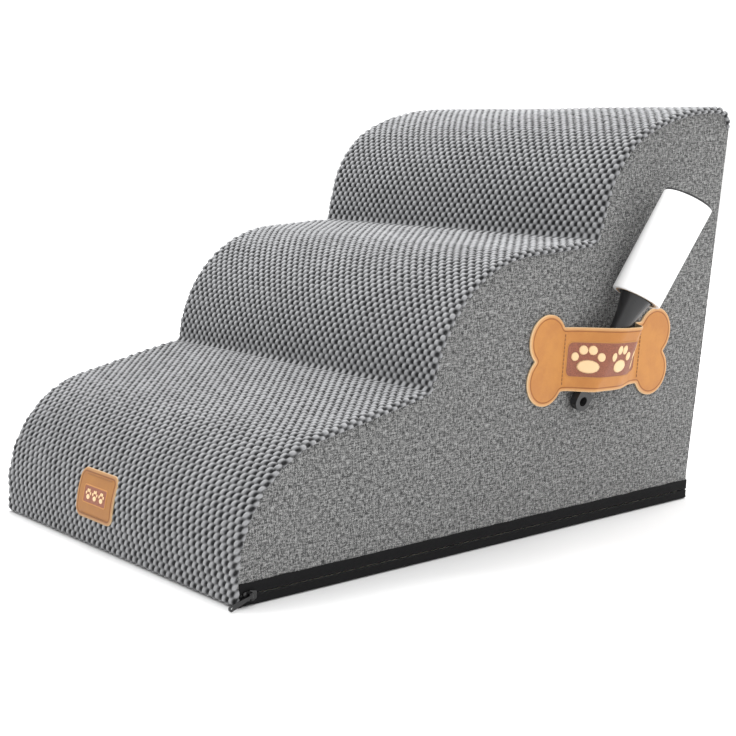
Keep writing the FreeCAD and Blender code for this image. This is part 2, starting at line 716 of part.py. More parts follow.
def bone_stitching():
    """A row of stitches at each end of the loop, where the lobes are sewn to the panel."""
    face = PANEL_OUTER + BONE_THICKNESS
    row = BONE_BAR_HEIGHT - 2 * BONE_CORNER
    count = int(row / STITCH_PITCH)
    stitches = []
    for y in (-BONE_SEAM_HALF, BONE_SEAM_HALF):
        for i in range(count):
            z = (i + 0.5 - count / 2) * STITCH_PITCH
            low = (face, y - STITCH_WIDTH / 2, z - STITCH_LENGTH / 2)
            high = (face + STITCH_PROUD, y + STITCH_WIDTH / 2, z + STITCH_LENGTH / 2)
            stitches.append(box(low, high))
    rows = Part.makeCompound(stitches)
    rows.rotate(Vec(0, 0, 0), ACROSS, BONE_TILT)
    rows.translate(Vec(0, BONE_Y, BONE_Z))
    return rows


NODES = {
    "foam_core": foam_core,
    "tread_cover": tread_cover,
    "side_panel_right": lambda: side_panel(1),
    "side_panel_left": lambda: side_panel(-1),
    "back_panel": back_panel,
    "base_panel": base_panel,
    "front_hem_binding": front_hem,
    "zip_tape_upper": zip_tape_upper,
    "zip_tape_lower": zip_tape_lower,
    "zip_coil_upper": lambda: zip_coil(SLIT_TOP),
    "zip_coil_lower": lambda: zip_coil(SLIT_BOTTOM - COIL_HEIGHT),
    "zip_end_stops": zip_stops,
    "zip_slider": zip_slider,
    "zip_pull": zip_pull,
    "front_badge": front_badge,
    "badge_stitching": badge_stitching,
    "bone_loop": bone_loop,
    "bone_stitching": bone_stitching,
    "roller_handle": roller_handle,
    "spindle_retainer": spindle_retainer,
    "roller_drum": roller_drum,
    "roller_end_cap": roller_end_cap,
    "cardboard_core": cardboard_core,
    "adhesive_sheets": adhesive_sheets,
}


def write_nodes():
    """Builds every node, writes its STEP file and prints its size."""
    os.makedirs("parts", exist_ok=True)
    for name, make in NODES.items():
        shape = make()
        shape.exportStep("parts/%s.step" % name)
        b = shape.BoundBox
        extent = "x %.1f..%.1f y %.1f..%.1f z %.1f..%.1f" % (b.XMin, b.XMax, b.YMin, b.YMax, b.ZMin, b.ZMax)
        print("%-18s solids %3d valid %s volume %11.1f %s" % (
            name, len(shape.Solids), shape.isValid(), shape.Volume, extent))


write_nodes()
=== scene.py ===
"""Looks of the cushioned three-step pet ramp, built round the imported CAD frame.

Laid out as an add-on and run as a script. Lengths are in metres in the frame's own axes: X across the
ramp, Y from its low front to its tall back, Z up.
"""

import json
import math

import bpy
import numpy as np
from mathutils import Matrix, Vector


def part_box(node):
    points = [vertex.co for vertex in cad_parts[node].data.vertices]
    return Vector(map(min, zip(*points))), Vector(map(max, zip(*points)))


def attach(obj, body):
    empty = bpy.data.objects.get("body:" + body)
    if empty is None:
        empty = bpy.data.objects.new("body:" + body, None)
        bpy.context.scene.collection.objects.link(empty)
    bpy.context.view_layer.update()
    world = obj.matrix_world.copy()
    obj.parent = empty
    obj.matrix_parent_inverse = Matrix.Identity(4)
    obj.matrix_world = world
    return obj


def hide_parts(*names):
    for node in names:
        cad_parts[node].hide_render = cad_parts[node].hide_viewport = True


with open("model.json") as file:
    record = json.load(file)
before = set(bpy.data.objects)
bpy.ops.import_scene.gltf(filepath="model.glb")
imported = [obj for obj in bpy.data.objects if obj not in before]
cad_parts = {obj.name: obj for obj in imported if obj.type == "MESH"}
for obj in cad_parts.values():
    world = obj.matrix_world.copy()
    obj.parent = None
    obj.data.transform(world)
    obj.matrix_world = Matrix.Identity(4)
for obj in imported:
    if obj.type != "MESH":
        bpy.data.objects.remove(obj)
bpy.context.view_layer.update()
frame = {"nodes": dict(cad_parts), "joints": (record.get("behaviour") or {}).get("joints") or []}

bl_info = {
    "name": "Pet Ramp Finishes",
    "version": (1, 0, 0),
    "blender": (4, 5, 0),
    "location": "3D View > Sidebar > Pet Ramp",
    "description": "Plush, linen, leather, zip and lint roller of a cushioned pet ramp",
    "category": "Add Mesh",
}

MM = 0.001
TURN = 2 * math.pi

# The side outline: straight runs and the roundings between them
STEP_DEPTHS = (0.217, 0.212)
STEP_RISES = (0.161, 0.119, 0.120)
TREAD_SLOPES = (10.8, 2.5)
RISER_SLOPE = 75.6
CROWN_SLOPE = 21.2
CROWN_START_SHARE = 0.70
BACK_LEAN = 0.023
BACK_LEAN_START = 0.030
NOSE_RADIUS = 0.117
CREASE_RADIUS = 0.005
SHOULDER_RADII = (0.129, 0.096)
CROWN_RADIUS = 0.250
BACK_EDGE_RADIUS = 0.020
ARC_STEPS = 60
OUTLINE_STEPS = 6000


def box_size(node):
    """Lowest and highest corner of a CAD node as numpy arrays."""
    low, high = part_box(node)
    return np.array(low), np.array(high)


COVER_LOW, COVER_HIGH = box_size("tread_cover")
PANEL_LOW, PANEL_HIGH = box_size("side_panel_right")
BACK_LOW, BACK_HIGH = box_size("back_panel")
BASE_LOW, BASE_HIGH = box_size("base_panel")
HALF_WIDTH = float(COVER_HIGH[0])
FRONT_Y = float(COVER_LOW[1])
BACK_Y = -FRONT_Y
TOP_Z = float(COVER_HIGH[2])
PANEL_FACE = float(PANEL_HIGH[0])
PANEL_BOTTOM = float(PANEL_LOW[2])
REAR_SEAM_Z = float(BACK_HIGH[2])


def smooth(t):
    """Eased step: 0 below 0, 1 above 1, and 3t^2 - 2t^3 between."""
    t = np.clip(t, 0.0, 1.0)
    return t * t * (3 - 2 * t)


def wave(seed, *axes):
    """Slow seeded undulation between about -1 and 1: the mean of four sines of mixed directions."""
    rng = np.random.default_rng(seed)
    total = 0.0
    for _ in range(4):
        phase = rng.uniform(0, TURN)
        angle = phase
        for axis in axes:
            angle = angle + axis * rng.uniform(0.4, 1.3) * rng.choice([-1, 1])
        total = total + np.sin(angle)
    return total / 4


# ---------------------------------------------------------------- settings


def shade(name, about, default):
    """A colour setting."""
    return bpy.props.FloatVectorProperty(name=name, description=about, default=default, subtype="COLOR")


def length(name, about, default):
    """A length setting, in metres."""
    return bpy.props.FloatProperty(name=name, description=about, default=default, unit="LENGTH")


def angle(name, about, degrees):
    """An angle setting, given in degrees."""
    turn = math.radians(degrees)
    return bpy.props.FloatProperty(name=name, description=about, default=turn, subtype="ANGLE")


class CoverSettings(bpy.types.PropertyGroup):
    """Sizes and colours of the fabric cover."""

    bump_across: length("Bump spacing across", "Across the ramp", 0.0093)
    bump_along: length("Bump spacing along", "Between two rows in line", 0.0105)
    bump_height: length("Bump height", "From groove to top", 0.0032)
    plush: shade("Plush", "Top of the bumps", (0.305, 0.308, 0.317))
    # Painted shade: this colour darkens the plush between the bumps, where shade falls.
    painted_groove_shade: shade("Groove", "Between the bumps", (0.010, 0.0105, 0.0115))
    linen_light: shade("Linen, light yarn", "Lightest yarn", (0.335, 0.335, 0.33))
    linen_dark: shade("Linen, dark yarn", "Darkest yarn", (0.016, 0.0165, 0.017))


class TrimSettings(bpy.types.PropertyGroup):
    """Colours of the leather, the zip and the lint roller."""

    leather: shade("Leather", "Tan face", (0.52, 0.225, 0.052))
    leather_edge: shade("Cut edge", "Pale cut edge", (0.82, 0.58, 0.33))
    field: shade("Pressed field", "Brown emblem field", (0.20, 0.065, 0.035))
    black: shade("Black", "Zip tape and plastic", (0.008, 0.008, 0.0085))
    paper: shade("Paper", "Adhesive paper", (0.92, 0.92, 0.92))


class StageSettings(bpy.types.PropertyGroup):
    """Camera and light."""

    azimuth: angle("Azimuth", "Camera direction", 54.325)
    elevation: angle("Elevation", "Camera height angle", 16.448)
    roll: angle("Roll", "Camera roll", -0.524)
    key_power: bpy.props.FloatProperty(
        name="Key light", description="Power of the soft top light", default=60.0, unit="POWER"
    )


# ---------------------------------------------------------------- meshes


def mesh_object(name, points, faces, uv=None):
    """A mesh from points and arrays of faces, each array holding faces of one length."""
    mesh = bpy.data.meshes.new(name)
    points = np.asarray(points, np.float32).reshape(-1, 3)
    corners = np.concatenate([f.ravel() for f in faces]).astype(np.int32)
    lengths = np.concatenate([np.full(len(f), f.shape[1]) for f in faces])
    mesh.vertices.add(len(points))
    mesh.vertices.foreach_set("co", points.ravel())
    mesh.loops.add(len(corners))
    mesh.loops.foreach_set("vertex_index", corners)
    mesh.polygons.add(len(lengths))
    starts = np.concatenate([[0], np.cumsum(lengths)[:-1]]).astype(np.int32)
    mesh.polygons.foreach_set("loop_start", starts)
    mesh.polygons.foreach_set("use_smooth", np.ones(len(lengths), bool))
    if uv is not None:
        layer = mesh.uv_layers.new(name="UVMap")
        layer.data.foreach_set("uv", np.asarray(uv, np.float32).ravel())
    mesh.update(calc_edges=True)
    mesh.validate()
    obj = bpy.data.objects.new(name, mesh)
    bpy.context.scene.collection.objects.link(obj)
    return obj


def grid_faces(rows, cols, wrap_rows=False, wrap_cols=False):
    """Row and column numbers of each corner of each quad of a grid, not yet wrapped round."""
    i, j = np.meshgrid(
        np.arange(rows if wrap_rows else rows - 1),
        np.arange(cols if wrap_cols else cols - 1),
        indexing="ij",
    )
    i = i.ravel()
    j = j.ravel()
    return np.stack([i, i, i + 1, i + 1], 1), np.stack([j, j + 1, j + 1, j], 1)


def surface(name, points, uv=None, wrap_rows=False, wrap_cols=False, flip=False, ends=False):
    """A sheet through a grid of points (rows, columns, 3). Wrapped rows or columns close on the first;
    ends adds a face over the first and the last row. uv has one more row or column where it wraps."""
    rows, cols = points.shape[:2]
    r, c = grid_faces(rows, cols, wrap_rows, wrap_cols)
    if flip:
        r = r[:, ::-1]
        c = c[:, ::-1]
    faces = [(r % rows) * cols + c % cols]
    corner_uv = None
    if uv is not None:
        corner_uv = uv[r.ravel(), c.ravel()]
    if ends:
        first = np.arange(cols)[None]
        last = (rows - 1) * cols + first
        if flip:
            faces += [first, last[:, ::-1]]
        else:
            faces += [first[:, ::-1], last]
        if uv is not None:
            corner_uv = np.concatenate([corner_uv, uv[0, :cols], uv[-1, :cols]])
    return mesh_object(name, points, faces, corner_uv)


def spread(down, across):
    """A UV grid whose u runs down the rows and whose v runs across the columns."""
    return np.stack(np.meshgrid(down, across, indexing="ij"), -1)


def evenly(line, count):
    """The closed line through the given points, as count evenly spaced points."""
    closed = np.concatenate([line, line[:1]])
    along = np.concatenate([[0], np.cumsum(np.hypot(*np.diff(closed, axis=0).T))])
    s = np.linspace(0, along[-1], count, endpoint=False)
    return np.stack([np.interp(s, along, closed[:, k]) for k in (0, 1)], -1)


def repeated(name, shape, faces, places):
    """Copies of one small shape: shape is (k, 3) points, places is (n, k, 3) offsets or (n, 1, 3)."""
    points = shape[None] + places
    count = len(points)
    size = points.shape[1]
    shift = (np.arange(count) * size)[:, None, None]
    copied = [(f[None] + shift).reshape(-1, f.shape[1]) for f in faces]
    return mesh_object(name, points, copied)


def dome(radius, height, sides=10):
    """A small closed bead: rings of radius r cos t at height h sin t, with flat ends."""
    tilt = np.radians([0, 0, 35, 65])
    ring = np.array([0.0, 1.0, 1.0, 1.0])
    around = np.arange(sides) * TURN / sides
    r = radius * np.cos(tilt)
    z = height * np.sin(tilt) * ring
    points = np.stack(
        [
            np.outer(r[1:], np.cos(around)),
            np.outer(r[1:], np.sin(around)),
            np.outer(z[1:], np.ones(sides)),
        ],
        -1,
    )
    row, col = grid_faces(3, sides, wrap_cols=True)
    quads = row * sides + col % sides
    return points.reshape(-1, 3), [quads, np.arange(sides)[None, ::-1], (2 * sides + np.arange(sides))[None]]


def bead(length, width, height):
    """A stitch lying along its first axis: a half-round bar whose ends taper down."""
    along = np.array([-1.0, -0.8, 0.8, 1.0]) * length / 2
    full = np.array([0.35, 1.0, 1.0, 0.35])
    around = np.radians([0, 50, 90, 130, 180])
    y = np.outer(full, np.cos(around)) * width / 2
    z = np.outer(full, np.sin(around)) * height
    x = np.repeat(along[:, None], len(around), 1)
    points = np.stack([x, y, z], -1)
    cols = len(around)
    row, col = grid_faces(4, cols, wrap_cols=True)
    quads = row * cols + col % cols
    ends = [np.arange(cols)[None, ::-1], (3 * cols + np.arange(cols))[None]]
    return points.reshape(-1, 3), [quads] + ends


# ---------------------------------------------------------------- side outline


def outline_runs():
    """Straight runs of the side outline: a point (y, z) on each and its direction in degrees."""
    crease_1 = (FRONT_Y + STEP_DEPTHS[0], STEP_RISES[0])
    crease_2 = (crease_1[0] + STEP_DEPTHS[1], crease_1[1] + STEP_RISES[1])
    rise = CROWN_START_SHARE * STEP_RISES[2]
    crown = (crease_2[0] + rise / math.tan(math.radians(RISER_SLOPE)), crease_2[1] + rise)
    lean = math.degrees(math.atan2(BACK_LEAN, TOP_Z - BACK_LEAN_START))
    return [
        ((FRONT_Y, 0.0), 90.0),
        (crease_1, TREAD_SLOPES[0]),
        (crease_1, RISER_SLOPE),
        (crease_2, TREAD_SLOPES[1]),
        (crease_2, RISER_SLOPE),
        (crown, CROWN_SLOPE),
        ((0.0, TOP_Z), 0.0),
        ((BACK_Y, BACK_LEAN_START), -90.0 - lean),
    ]


def outline():
    """Dense side outline from the front floor edge over the steps and down the back.

    Each corner is an arc tangent to its two runs: P(a) = C + r N(a), where N(a) is the outward normal
    of direction a. Returns distance along it, the points (y, z) and the direction at each, in radians.
    """
    runs = outline_runs()
    radii = [
        NOSE_RADIUS, CREASE_RADIUS, SHOULDER_RADII[0], CREASE_RADIUS,
        SHOULDER_RADII[1], CROWN_RADIUS, BACK_EDGE_RADIUS,
    ]
    corners = []
    for (p, a_deg), (q, b_deg) in zip(runs, runs[1:]):
        a = math.radians(a_deg)
        b = math.radians(b_deg)
        p = np.array(p)
        d = np.array([math.cos(a), math.sin(a)])
        e = np.array([math.cos(b), math.sin(b)])
        t = ((q[0] - p[0]) * e[1] - (q[1] - p[1]) * e[0]) / (d[0] * e[1] - d[1] * e[0])
        corners.append(p + t * d)
    knots = [np.array([FRONT_Y, 0.0])] + corners + [np.array([BACK_Y, BACK_LEAN_START])]
    points = [knots[0]]
    angles = [math.radians(runs[0][1])]
    for i, radius in enumerate(radii):
        corner = knots[i + 1]
        a = math.radians(runs[i][1])
        b = math.radians(runs[i + 1][1])
        half = (math.pi - abs(a - b)) / 2
        reach = radius / math.tan(half)
        bend = reach * math.tan(half) * (1 if b < a else -1)
        start = corner - reach * np.array([math.cos(a), math.sin(a)])
        centre = start - bend * np.array([-math.sin(a), math.cos(a)])
        for direction in np.linspace(a, b, ARC_STEPS):
            points.append(centre + bend * np.array([-math.sin(direction), math.cos(direction)]))
            angles.append(direction)
    points += [knots[-1], np.array([BACK_Y, 0.0])]
    angles += [angles[-1], -math.pi / 2]
    points = np.array(points)
    along = np.concatenate([[0], np.cumsum(np.hypot(*np.diff(points, axis=0).T))])
    fine = np.linspace(0, along[-1], OUTLINE_STEPS)
    y = np.interp(fine, along, points[:, 0])
    z = np.interp(fine, along, points[:, 1])
    return fine, np.stack([y, z], -1), np.interp(fine, along, angles)


ALONG, PATH, HEADING = outline()


def on_outline(s, inset=0.0):
    """Points (y, z) and outward normals at distances s along the outline, set in from it."""
    heading = np.interp(s, ALONG, HEADING)
    normal = np.stack([-np.sin(heading), np.cos(heading)], -1)
    y = np.interp(s, ALONG, PATH[:, 0])
    z = np.interp(s, ALONG, PATH[:, 1])
    return np.stack([y, z], -1) - np.asarray(inset)[..., None] * normal, normal


def crease_distances():
    """Distance along the outline of the two inner corners, where the heading turns from tread to riser."""
    middle = math.radians((TREAD_SLOPES[0] + RISER_SLOPE) / 2)
    rising = np.flatnonzero((HEADING[:-1] < middle) & (HEADING[1:] >= middle))
    return ALONG[rising]


CREASES = crease_distances()
REAR_SEAM = float(ALONG[np.flatnonzero((PATH[:, 1] > REAR_SEAM_Z) & (PATH[:, 0] > BACK_Y / 2))[-1]])


# ---------------------------------------------------------------- plush and linen

EDGE_RADIUS = 0.0045
PLUSH_BASE = -0.0021
BUMP_RADIUS = 0.0037
BUMP_SHIFT = 0.00035
BUMP_STEPS = 8
LINEN_THICKNESS = 0.0012
BASE_CLOTH_THICKNESS = 0.0018
HEM_TUCK = 0.0018
DOT_HEIGHT = 0.0009
FRONT_SHEAR = 0.42


def lattice(settings):
    """Row counter V and sideways drift along the outline: rows are wider apart and slanted on the front."""
    front = 1 - smooth((ALONG - 0.10) / 0.10)
    pitch = settings.bump_along * (1 + 0.20 * front)
    step = np.gradient(ALONG)
    rows = np.cumsum(step / pitch)
    drift = np.cumsum(step * FRONT_SHEAR * front)
    return rows - rows[0], drift


def bump_domes(u, v, across, along, seed=7):
    """Height from 0 to 1 of round bumps on a staggered lattice in the counters u and v.

    Each bump is a dome sqrt(1 - (r / R)^2) over its lattice point; a seeded table shifts each one a
    little and changes its radius R and height. The higher of the two lattices counts.
    """
    table = np.random.default_rng(seed).uniform(-1, 1, (4, 128, 256))
    best = np.zeros_like(u)
    for half in (0.0, 0.5):
        i = np.round(u - half).astype(int)
        j = np.round(v - half).astype(int)
        pick = table[:, (i + int(4 * half)) % 128, j % 256]
        du = (u - half - i) * across + BUMP_SHIFT * pick[0]
        dv = (v - half - j) * along + BUMP_SHIFT * pick[1]
        radius = BUMP_RADIUS * (1 + 0.06 * pick[2])
        dome_height = np.sqrt(np.clip(1 - (du * du + dv * dv) / radius**2, 0, 1))
        best = np.maximum(best, dome_height * (1 + 0.10 * pick[3]))
    return best


def plush_points(rows_v, settings):
    """Grid of the plush between row counters: the outline carried across, rounded over at both side
    seams, and raised along its normal by the bumps."""
    rows, drift = lattice(settings)
    s = np.interp(rows_v, rows, ALONG)
    flat = HALF_WIDTH - EDGE_RADIUS
    reach = flat + EDGE_RADIUS * math.pi / 2 + 0.0035
    columns = 2 * int(round(reach / settings.bump_across * BUMP_STEPS))
    w = np.linspace(-reach, reach, columns + 1)
    bend = np.clip((np.abs(w) - flat) / EDGE_RADIUS, 0, math.pi / 2)
    past = np.clip(np.abs(w) - flat - EDGE_RADIUS * math.pi / 2, 0, None)
    side = np.sign(w)
    x = side * (np.minimum(np.abs(w), flat) + EDGE_RADIUS * np.sin(bend) - 0.9 * past)
    inset = EDGE_RADIUS * (1 - np.cos(bend)) + 0.6 * past
    base, normal = on_outline(s[:, None] + 0 * w[None], inset[None] + 0 * s[:, None])
    u = (w[None] - np.interp(s, ALONG, drift)[:, None]) / settings.bump_across
    v = rows_v[:, None] + 0 * w[None]
    u = u + 0.10 * wave(3, w[None] * 22, s[:, None] * 26)
    v = v + 0.06 * wave(5, w[None] * 25, s[:, None] * 14)
    bumps = bump_domes(u, v, settings.bump_across, settings.bump_along)
    near = np.min([np.abs(s - c) for c in CREASES], axis=0)
    pressed = 1 - 0.45 * np.exp(-((near / 0.010) ** 2))
    ends = smooth((s - ALONG[0] - 0.0004) / 0.0022) * smooth((REAR_SEAM - s) / 0.004)
    height = PLUSH_BASE + settings.bump_height * bumps * pressed[:, None]
    height = height * ends[:, None] - 0.0030 * (1 - ends[:, None])
    height = height + 0.0006 * wave(9, w[None] * 30, s[:, None] * 34) * ends[:, None]
    out_yz = np.cos(bend)[None, :, None] * normal
    points = np.empty(v.shape + (3,))
    points[..., 0] = x[None] + height * (np.sin(bend) * side)[None]
    points[..., 1:] = base + height[..., None] * out_yz
    return points, np.stack([u, v], -1), s


def plush_pieces(settings):
    """The plush in three lengths that meet exactly in the two creases."""
    rows, _ = lattice(settings)
    start = float(np.interp(0.0008, ALONG, rows))
    marks = [start] + [float(np.interp(c, ALONG, rows)) for c in CREASES]
    marks.append(float(np.interp(REAR_SEAM, ALONG, rows)))
    marks = [round(m * BUMP_STEPS) / BUMP_STEPS for m in marks[:-1]] + [marks[-1]]
    made = []
    for number, (low, high) in enumerate(zip(marks, marks[1:]), start=1):
        count = int(round((high - low) * BUMP_STEPS))
        points, uv, s = plush_points(np.linspace(low, high, count + 1), settings)
        piece = surface("plush_step_%d" % number, points, uv)
        made.append((piece, 2 * HALF_WIDTH + 0.02, float(s[-1] - s[0])))
    return made


def lean_at(z):
    """How far the back face leans out behind its foot at height z."""
    return np.clip((z - BACK_LEAN_START) / (TOP_Z - BACK_LEAN_START), 0, None) * BACK_LEAN


def side_sheet(side):
    """A side panel: columns run from the zip up to the outline. Its upper edge dips in at the seam."""
    inset = 0.0042
    nose = float(ALONG[np.flatnonzero(HEADING < math.pi / 2 - 1e-4)[0]])
    back = float(ALONG[np.flatnonzero(HEADING > math.radians(-89))[-1]])
    s = np.linspace(nose, back, 300)
    seam_in = inset - 0.0032 * smooth((s - REAR_SEAM + 0.02) / 0.03)
    top, _ = on_outline(s, seam_in)
    low = PANEL_BOTTOM - 0.002
    share = np.clip((top[:, 0] - 0.2) / 0.1, 0, 1)
    straight = top[:, 0] - lean_at(top[:, 1]) * share
    straight[-1] = BACK_Y - 0.001
    t = 1 - (1 - np.linspace(0, 1, 90)) ** 1.6
    z = low + t[:, None] * (top[None, :, 1] - low)
    y = straight[None] + lean_at(z) * np.clip((straight[None] - 0.2) / 0.1, 0, 1) + 0 * z
    y[:, 0] = top[0, 0]
    to_top = top[None, :, 1] - z
    to_back = BACK_Y + lean_at(z) - y
    dip = np.exp(-((to_top / 0.0055) ** 2)) + np.exp(-((to_back / 0.003) ** 2))
    slack = 0.00035 * wave(11, y * 28, z * 24)
    x = side * (PANEL_FACE - 0.0004 + slack - 0.0013 * np.clip(dip, 0, 1))
    points = np.stack([x + 0 * y, y, z], -1)
    return points, np.stack([y, z], -1)


def back_sheet():
    """The back panel: rows run down the leaning back face from the rear seam to the zip."""
    s = np.linspace(REAR_SEAM - 0.003, ALONG[-1] - PANEL_BOTTOM + 0.002, 110)
    x = np.linspace(-PANEL_FACE, PANEL_FACE, 130)
    yz, normal = on_outline(s)
    gap = PANEL_FACE - np.abs(x)
    dip = np.exp(-((gap / 0.003) ** 2))[None] + np.exp(-(((s - s[0]) / 0.004) ** 2))[:, None]
    depth = 0.0004 * wave(13, x[None] * 26, s[:, None] * 30) - 0.0014 * np.clip(dip, 0, 1)
    points = np.empty(depth.shape + (3,))
    points[..., 0] = x[None] - np.sign(x)[None] * 0.0006
    points[..., 1:] = yz[:, None] + (depth - 0.0004)[..., None] * normal[:, None]
    uv = np.stack([0 * depth + x[None], 0 * depth - s[:, None]], -1)
    return points, uv


def thicken(obj, depth):
    """Gives a sheet its wall, on its inner side."""
    wall = obj.modifiers.new("wall", "SOLIDIFY")
    wall.thickness = depth
    wall.offset = -1.0


# ---------------------------------------------------------------- base, hem and zip

TEETH_OVERLAP = 0.00025


def base_sheet():
    """The non-slip bottom panel: a flat sheet whose edge curls up slightly."""
    x = np.linspace(BASE_LOW[0], BASE_HIGH[0], 90)
    y = np.linspace(BASE_LOW[1], BASE_HIGH[1], 120)
    side = BASE_HIGH[0] - np.abs(x)
    end = np.minimum(y - BASE_LOW[1], BASE_HIGH[1] - y)
    edge = np.minimum(side[None], end[:, None])
    z = 0.0008 + 0.0006 * np.exp(-((edge / 0.004) ** 2))
    points = np.stack([0 * z + x[None], 0 * z + y[:, None], z], -1)
    return points, points[..., :2]


def base_dots(pitch=0.011, radius=0.0026, height=DOT_HEIGHT):
    """Rubber dots under the base on a staggered grid, reaching down to the floor."""
    shape, faces = dome(radius, height)
    shape = shape * [1, 1, -1]
    faces = [f[:, ::-1] for f in faces]
    nx = int((BASE_HIGH[0] - BASE_LOW[0] - 0.02) / pitch)
    ny = int((BASE_HIGH[1] - BASE_LOW[1] - 0.02) / (pitch * 0.866))
    i, j = np.meshgrid(np.arange(nx), np.arange(ny))
    x = (i + 0.5 * (j % 2) - nx / 2) * pitch
    y = (BASE_LOW[1] + BASE_HIGH[1]) / 2 + (j - (ny - 1) / 2) * pitch * 0.866
    places = np.stack([x, y, 0 * x + DOT_HEIGHT * 0.9], -1).reshape(-1, 1, 3)
    return repeated("base_grip_dots", shape, faces, places)


def hem_roll():
    """The binding along the front edge: a flattened roll carried across, with fine folds."""
    low, high = box_size("front_hem_binding")
    around = np.arange(20) * TURN / 20
    power = np.sign(np.cos(around)) * np.abs(np.cos(around)) ** 0.5
    rise = np.sign(np.sin(around)) * np.abs(np.sin(around)) ** 0.7
    x = np.linspace(low[0], high[0], 260)
    middle = (low + high) / 2
    half = (high - low) / 2
    fold = 1 + 0.03 * wave(21, x * 300, x * 90)
    points = np.empty((len(x), len(around), 3))
    points[..., 0] = x[:, None]
    points[..., 1] = middle[1] + HEM_TUCK + (half[1] - HEM_TUCK) * power[None]
    points[..., 2] = middle[2] + half[2] * rise[None] * np.clip(fold, 0, 1)[:, None]
    arc = np.arange(21) * 0.001
    return surface("front_binding", points, spread(x, arc), wrap_cols=True, ends=True)


def zip_path(step, corner=0.003, offset=0.0):
    """Path round the right, back and left sides at the panels' faces: points, outward normals, length."""
    start = float(box_size("zip_tape_upper")[0][1])
    half = PANEL_FACE + offset
    back = BACK_Y + offset
    radius = corner + offset
    leg = back - radius - start
    bend = radius * math.pi / 2
    width = 2 * (half - radius)
    total = 2 * leg + 2 * bend + width
    s = np.linspace(0, total, int(total / step))
    points = np.empty((len(s), 2))
    normal = np.empty((len(s), 2))
    marks = np.cumsum([0, leg, bend, width, bend, leg])
    sections = [
        (0.0, (half, start), (0, 1)),
        (None, (half - radius, back - radius), 0.0),
        (math.pi / 2, (half - radius, back), (-1, 0)),
        (None, (-half + radius, back - radius), math.pi / 2),
        (math.pi, (-half, back - radius), (0, -1)),
    ]
    for k, (angle, origin, way) in enumerate(sections):
        here = (s >= marks[k]) & (s <= marks[k + 1])
        t = s[here] - marks[k]
        if angle is None:
            turn = way + t / radius
            normal[here] = np.stack([np.cos(turn), np.sin(turn)], -1)
            points[here] = np.array(origin) + radius * normal[here]
        else:
            normal[here] = [math.cos(angle), math.sin(angle)]
            points[here] = np.array(origin) + t[:, None] * np.array(way)
    return s, points, normal


def zip_tape(name, low, high, fuzzy_top):
    """A woven tape: a thin band with fine ribs and a firm cord along the slit, carried round the path.

    Its free edge is frayed by a small seeded wave.
    """
    s, path, normal = zip_path(0.0012)
    height = high - low
    face = np.array([0.0, 0.06, 0.14, 0.22, 0.32, 0.44, 0.56, 0.68, 0.78, 0.88, 0.95, 1.0])
    out = np.array([0.35, 0.75, 0.95, 0.80, 0.72, 0.80, 0.72, 0.80, 0.72, 0.80, 0.70, 0.30]) * MM
    if not fuzzy_top:
        out = out[::-1]
    z = low + face * height
    loop_z = np.concatenate([z, z[::-1]])
    loop_out = np.concatenate([out, np.full(len(z), -0.00005)])
    weight = np.concatenate([face, face[::-1]]) if fuzzy_top else 1 - np.concatenate([face, face[::-1]])
    fray = 0.00035 * wave(31, s * 2300, s * 5100) + 0.0004 * wave(33, s * 130)
    points = np.empty((len(s), len(loop_z), 3))
    points[..., :2] = path[:, None] + loop_out[None, :, None] * normal[:, None]
    direction = 1 if fuzzy_top else 0
    points[..., 2] = loop_z[None] + direction * fray[:, None] * smooth((weight - 0.9) / 0.1)[None]
    around = np.concatenate([loop_z, loop_z[:1]])
    return surface(name, points, spread(s, around), wrap_cols=True, ends=True, flip=True)


def zip_teeth(name, low, high, pitch=0.0014):
    """A row of coil turns behind a tape: short rounded bars across the tape's edge."""
    s, path, normal = zip_path(pitch, offset=-0.0009)
    shape, faces = bead(high - low, 0.00105, 0.0007)
    centre = np.stack([path[:, 0], path[:, 1], 0 * s + (low + high) / 2], -1)
    tangent = np.stack([-normal[:, 1], normal[:, 0]], -1)
    placed = np.empty((len(s), len(shape), 3))
    placed[..., :2] = (
        shape[None, :, 1, None] * tangent[:, None] + shape[None, :, 2, None] * normal[:, None]
    )
    placed[..., 2] = shape[None, :, 0]
    return repeated(name, np.zeros_like(shape), [f[:, ::-1] for f in faces], placed + centre[:, None])


# ---------------------------------------------------------------- leather

BONE_LENGTH = 0.205
BONE_LOBE_RADIUS = 0.0245
BONE_LOBE_RISE = 0.019
BONE_BAR_HEIGHT = 0.061
BONE_THICKNESS = 0.0024
BONE_Y = 0.1453
BONE_Z = 0.1683
BONE_TILT = math.radians(-2.3)
LOOP_HALF_SPAN = 0.0515
BORDER_INSET = 0.0036
LEATHER_BACK = 0.0001
GRIP_REACH = 0.0089
LOOP_CLEARANCE = 0.0012
RIGHT_FLANK_STEEPNESS = 1.5
EMBLEM_WIDTH = 0.100
EMBLEM_HEIGHT = 0.035
EMBLEM_SHIFT = np.array([-0.002, 0.0])


def spinning():
    """Start point and direction of the lint roller's axis, from its joint."""
    joint = next(j for j in frame["joints"] if j["name"] == "roll_spin")
    return np.array(joint["pos_m"], float), np.array(joint["axis"], float)


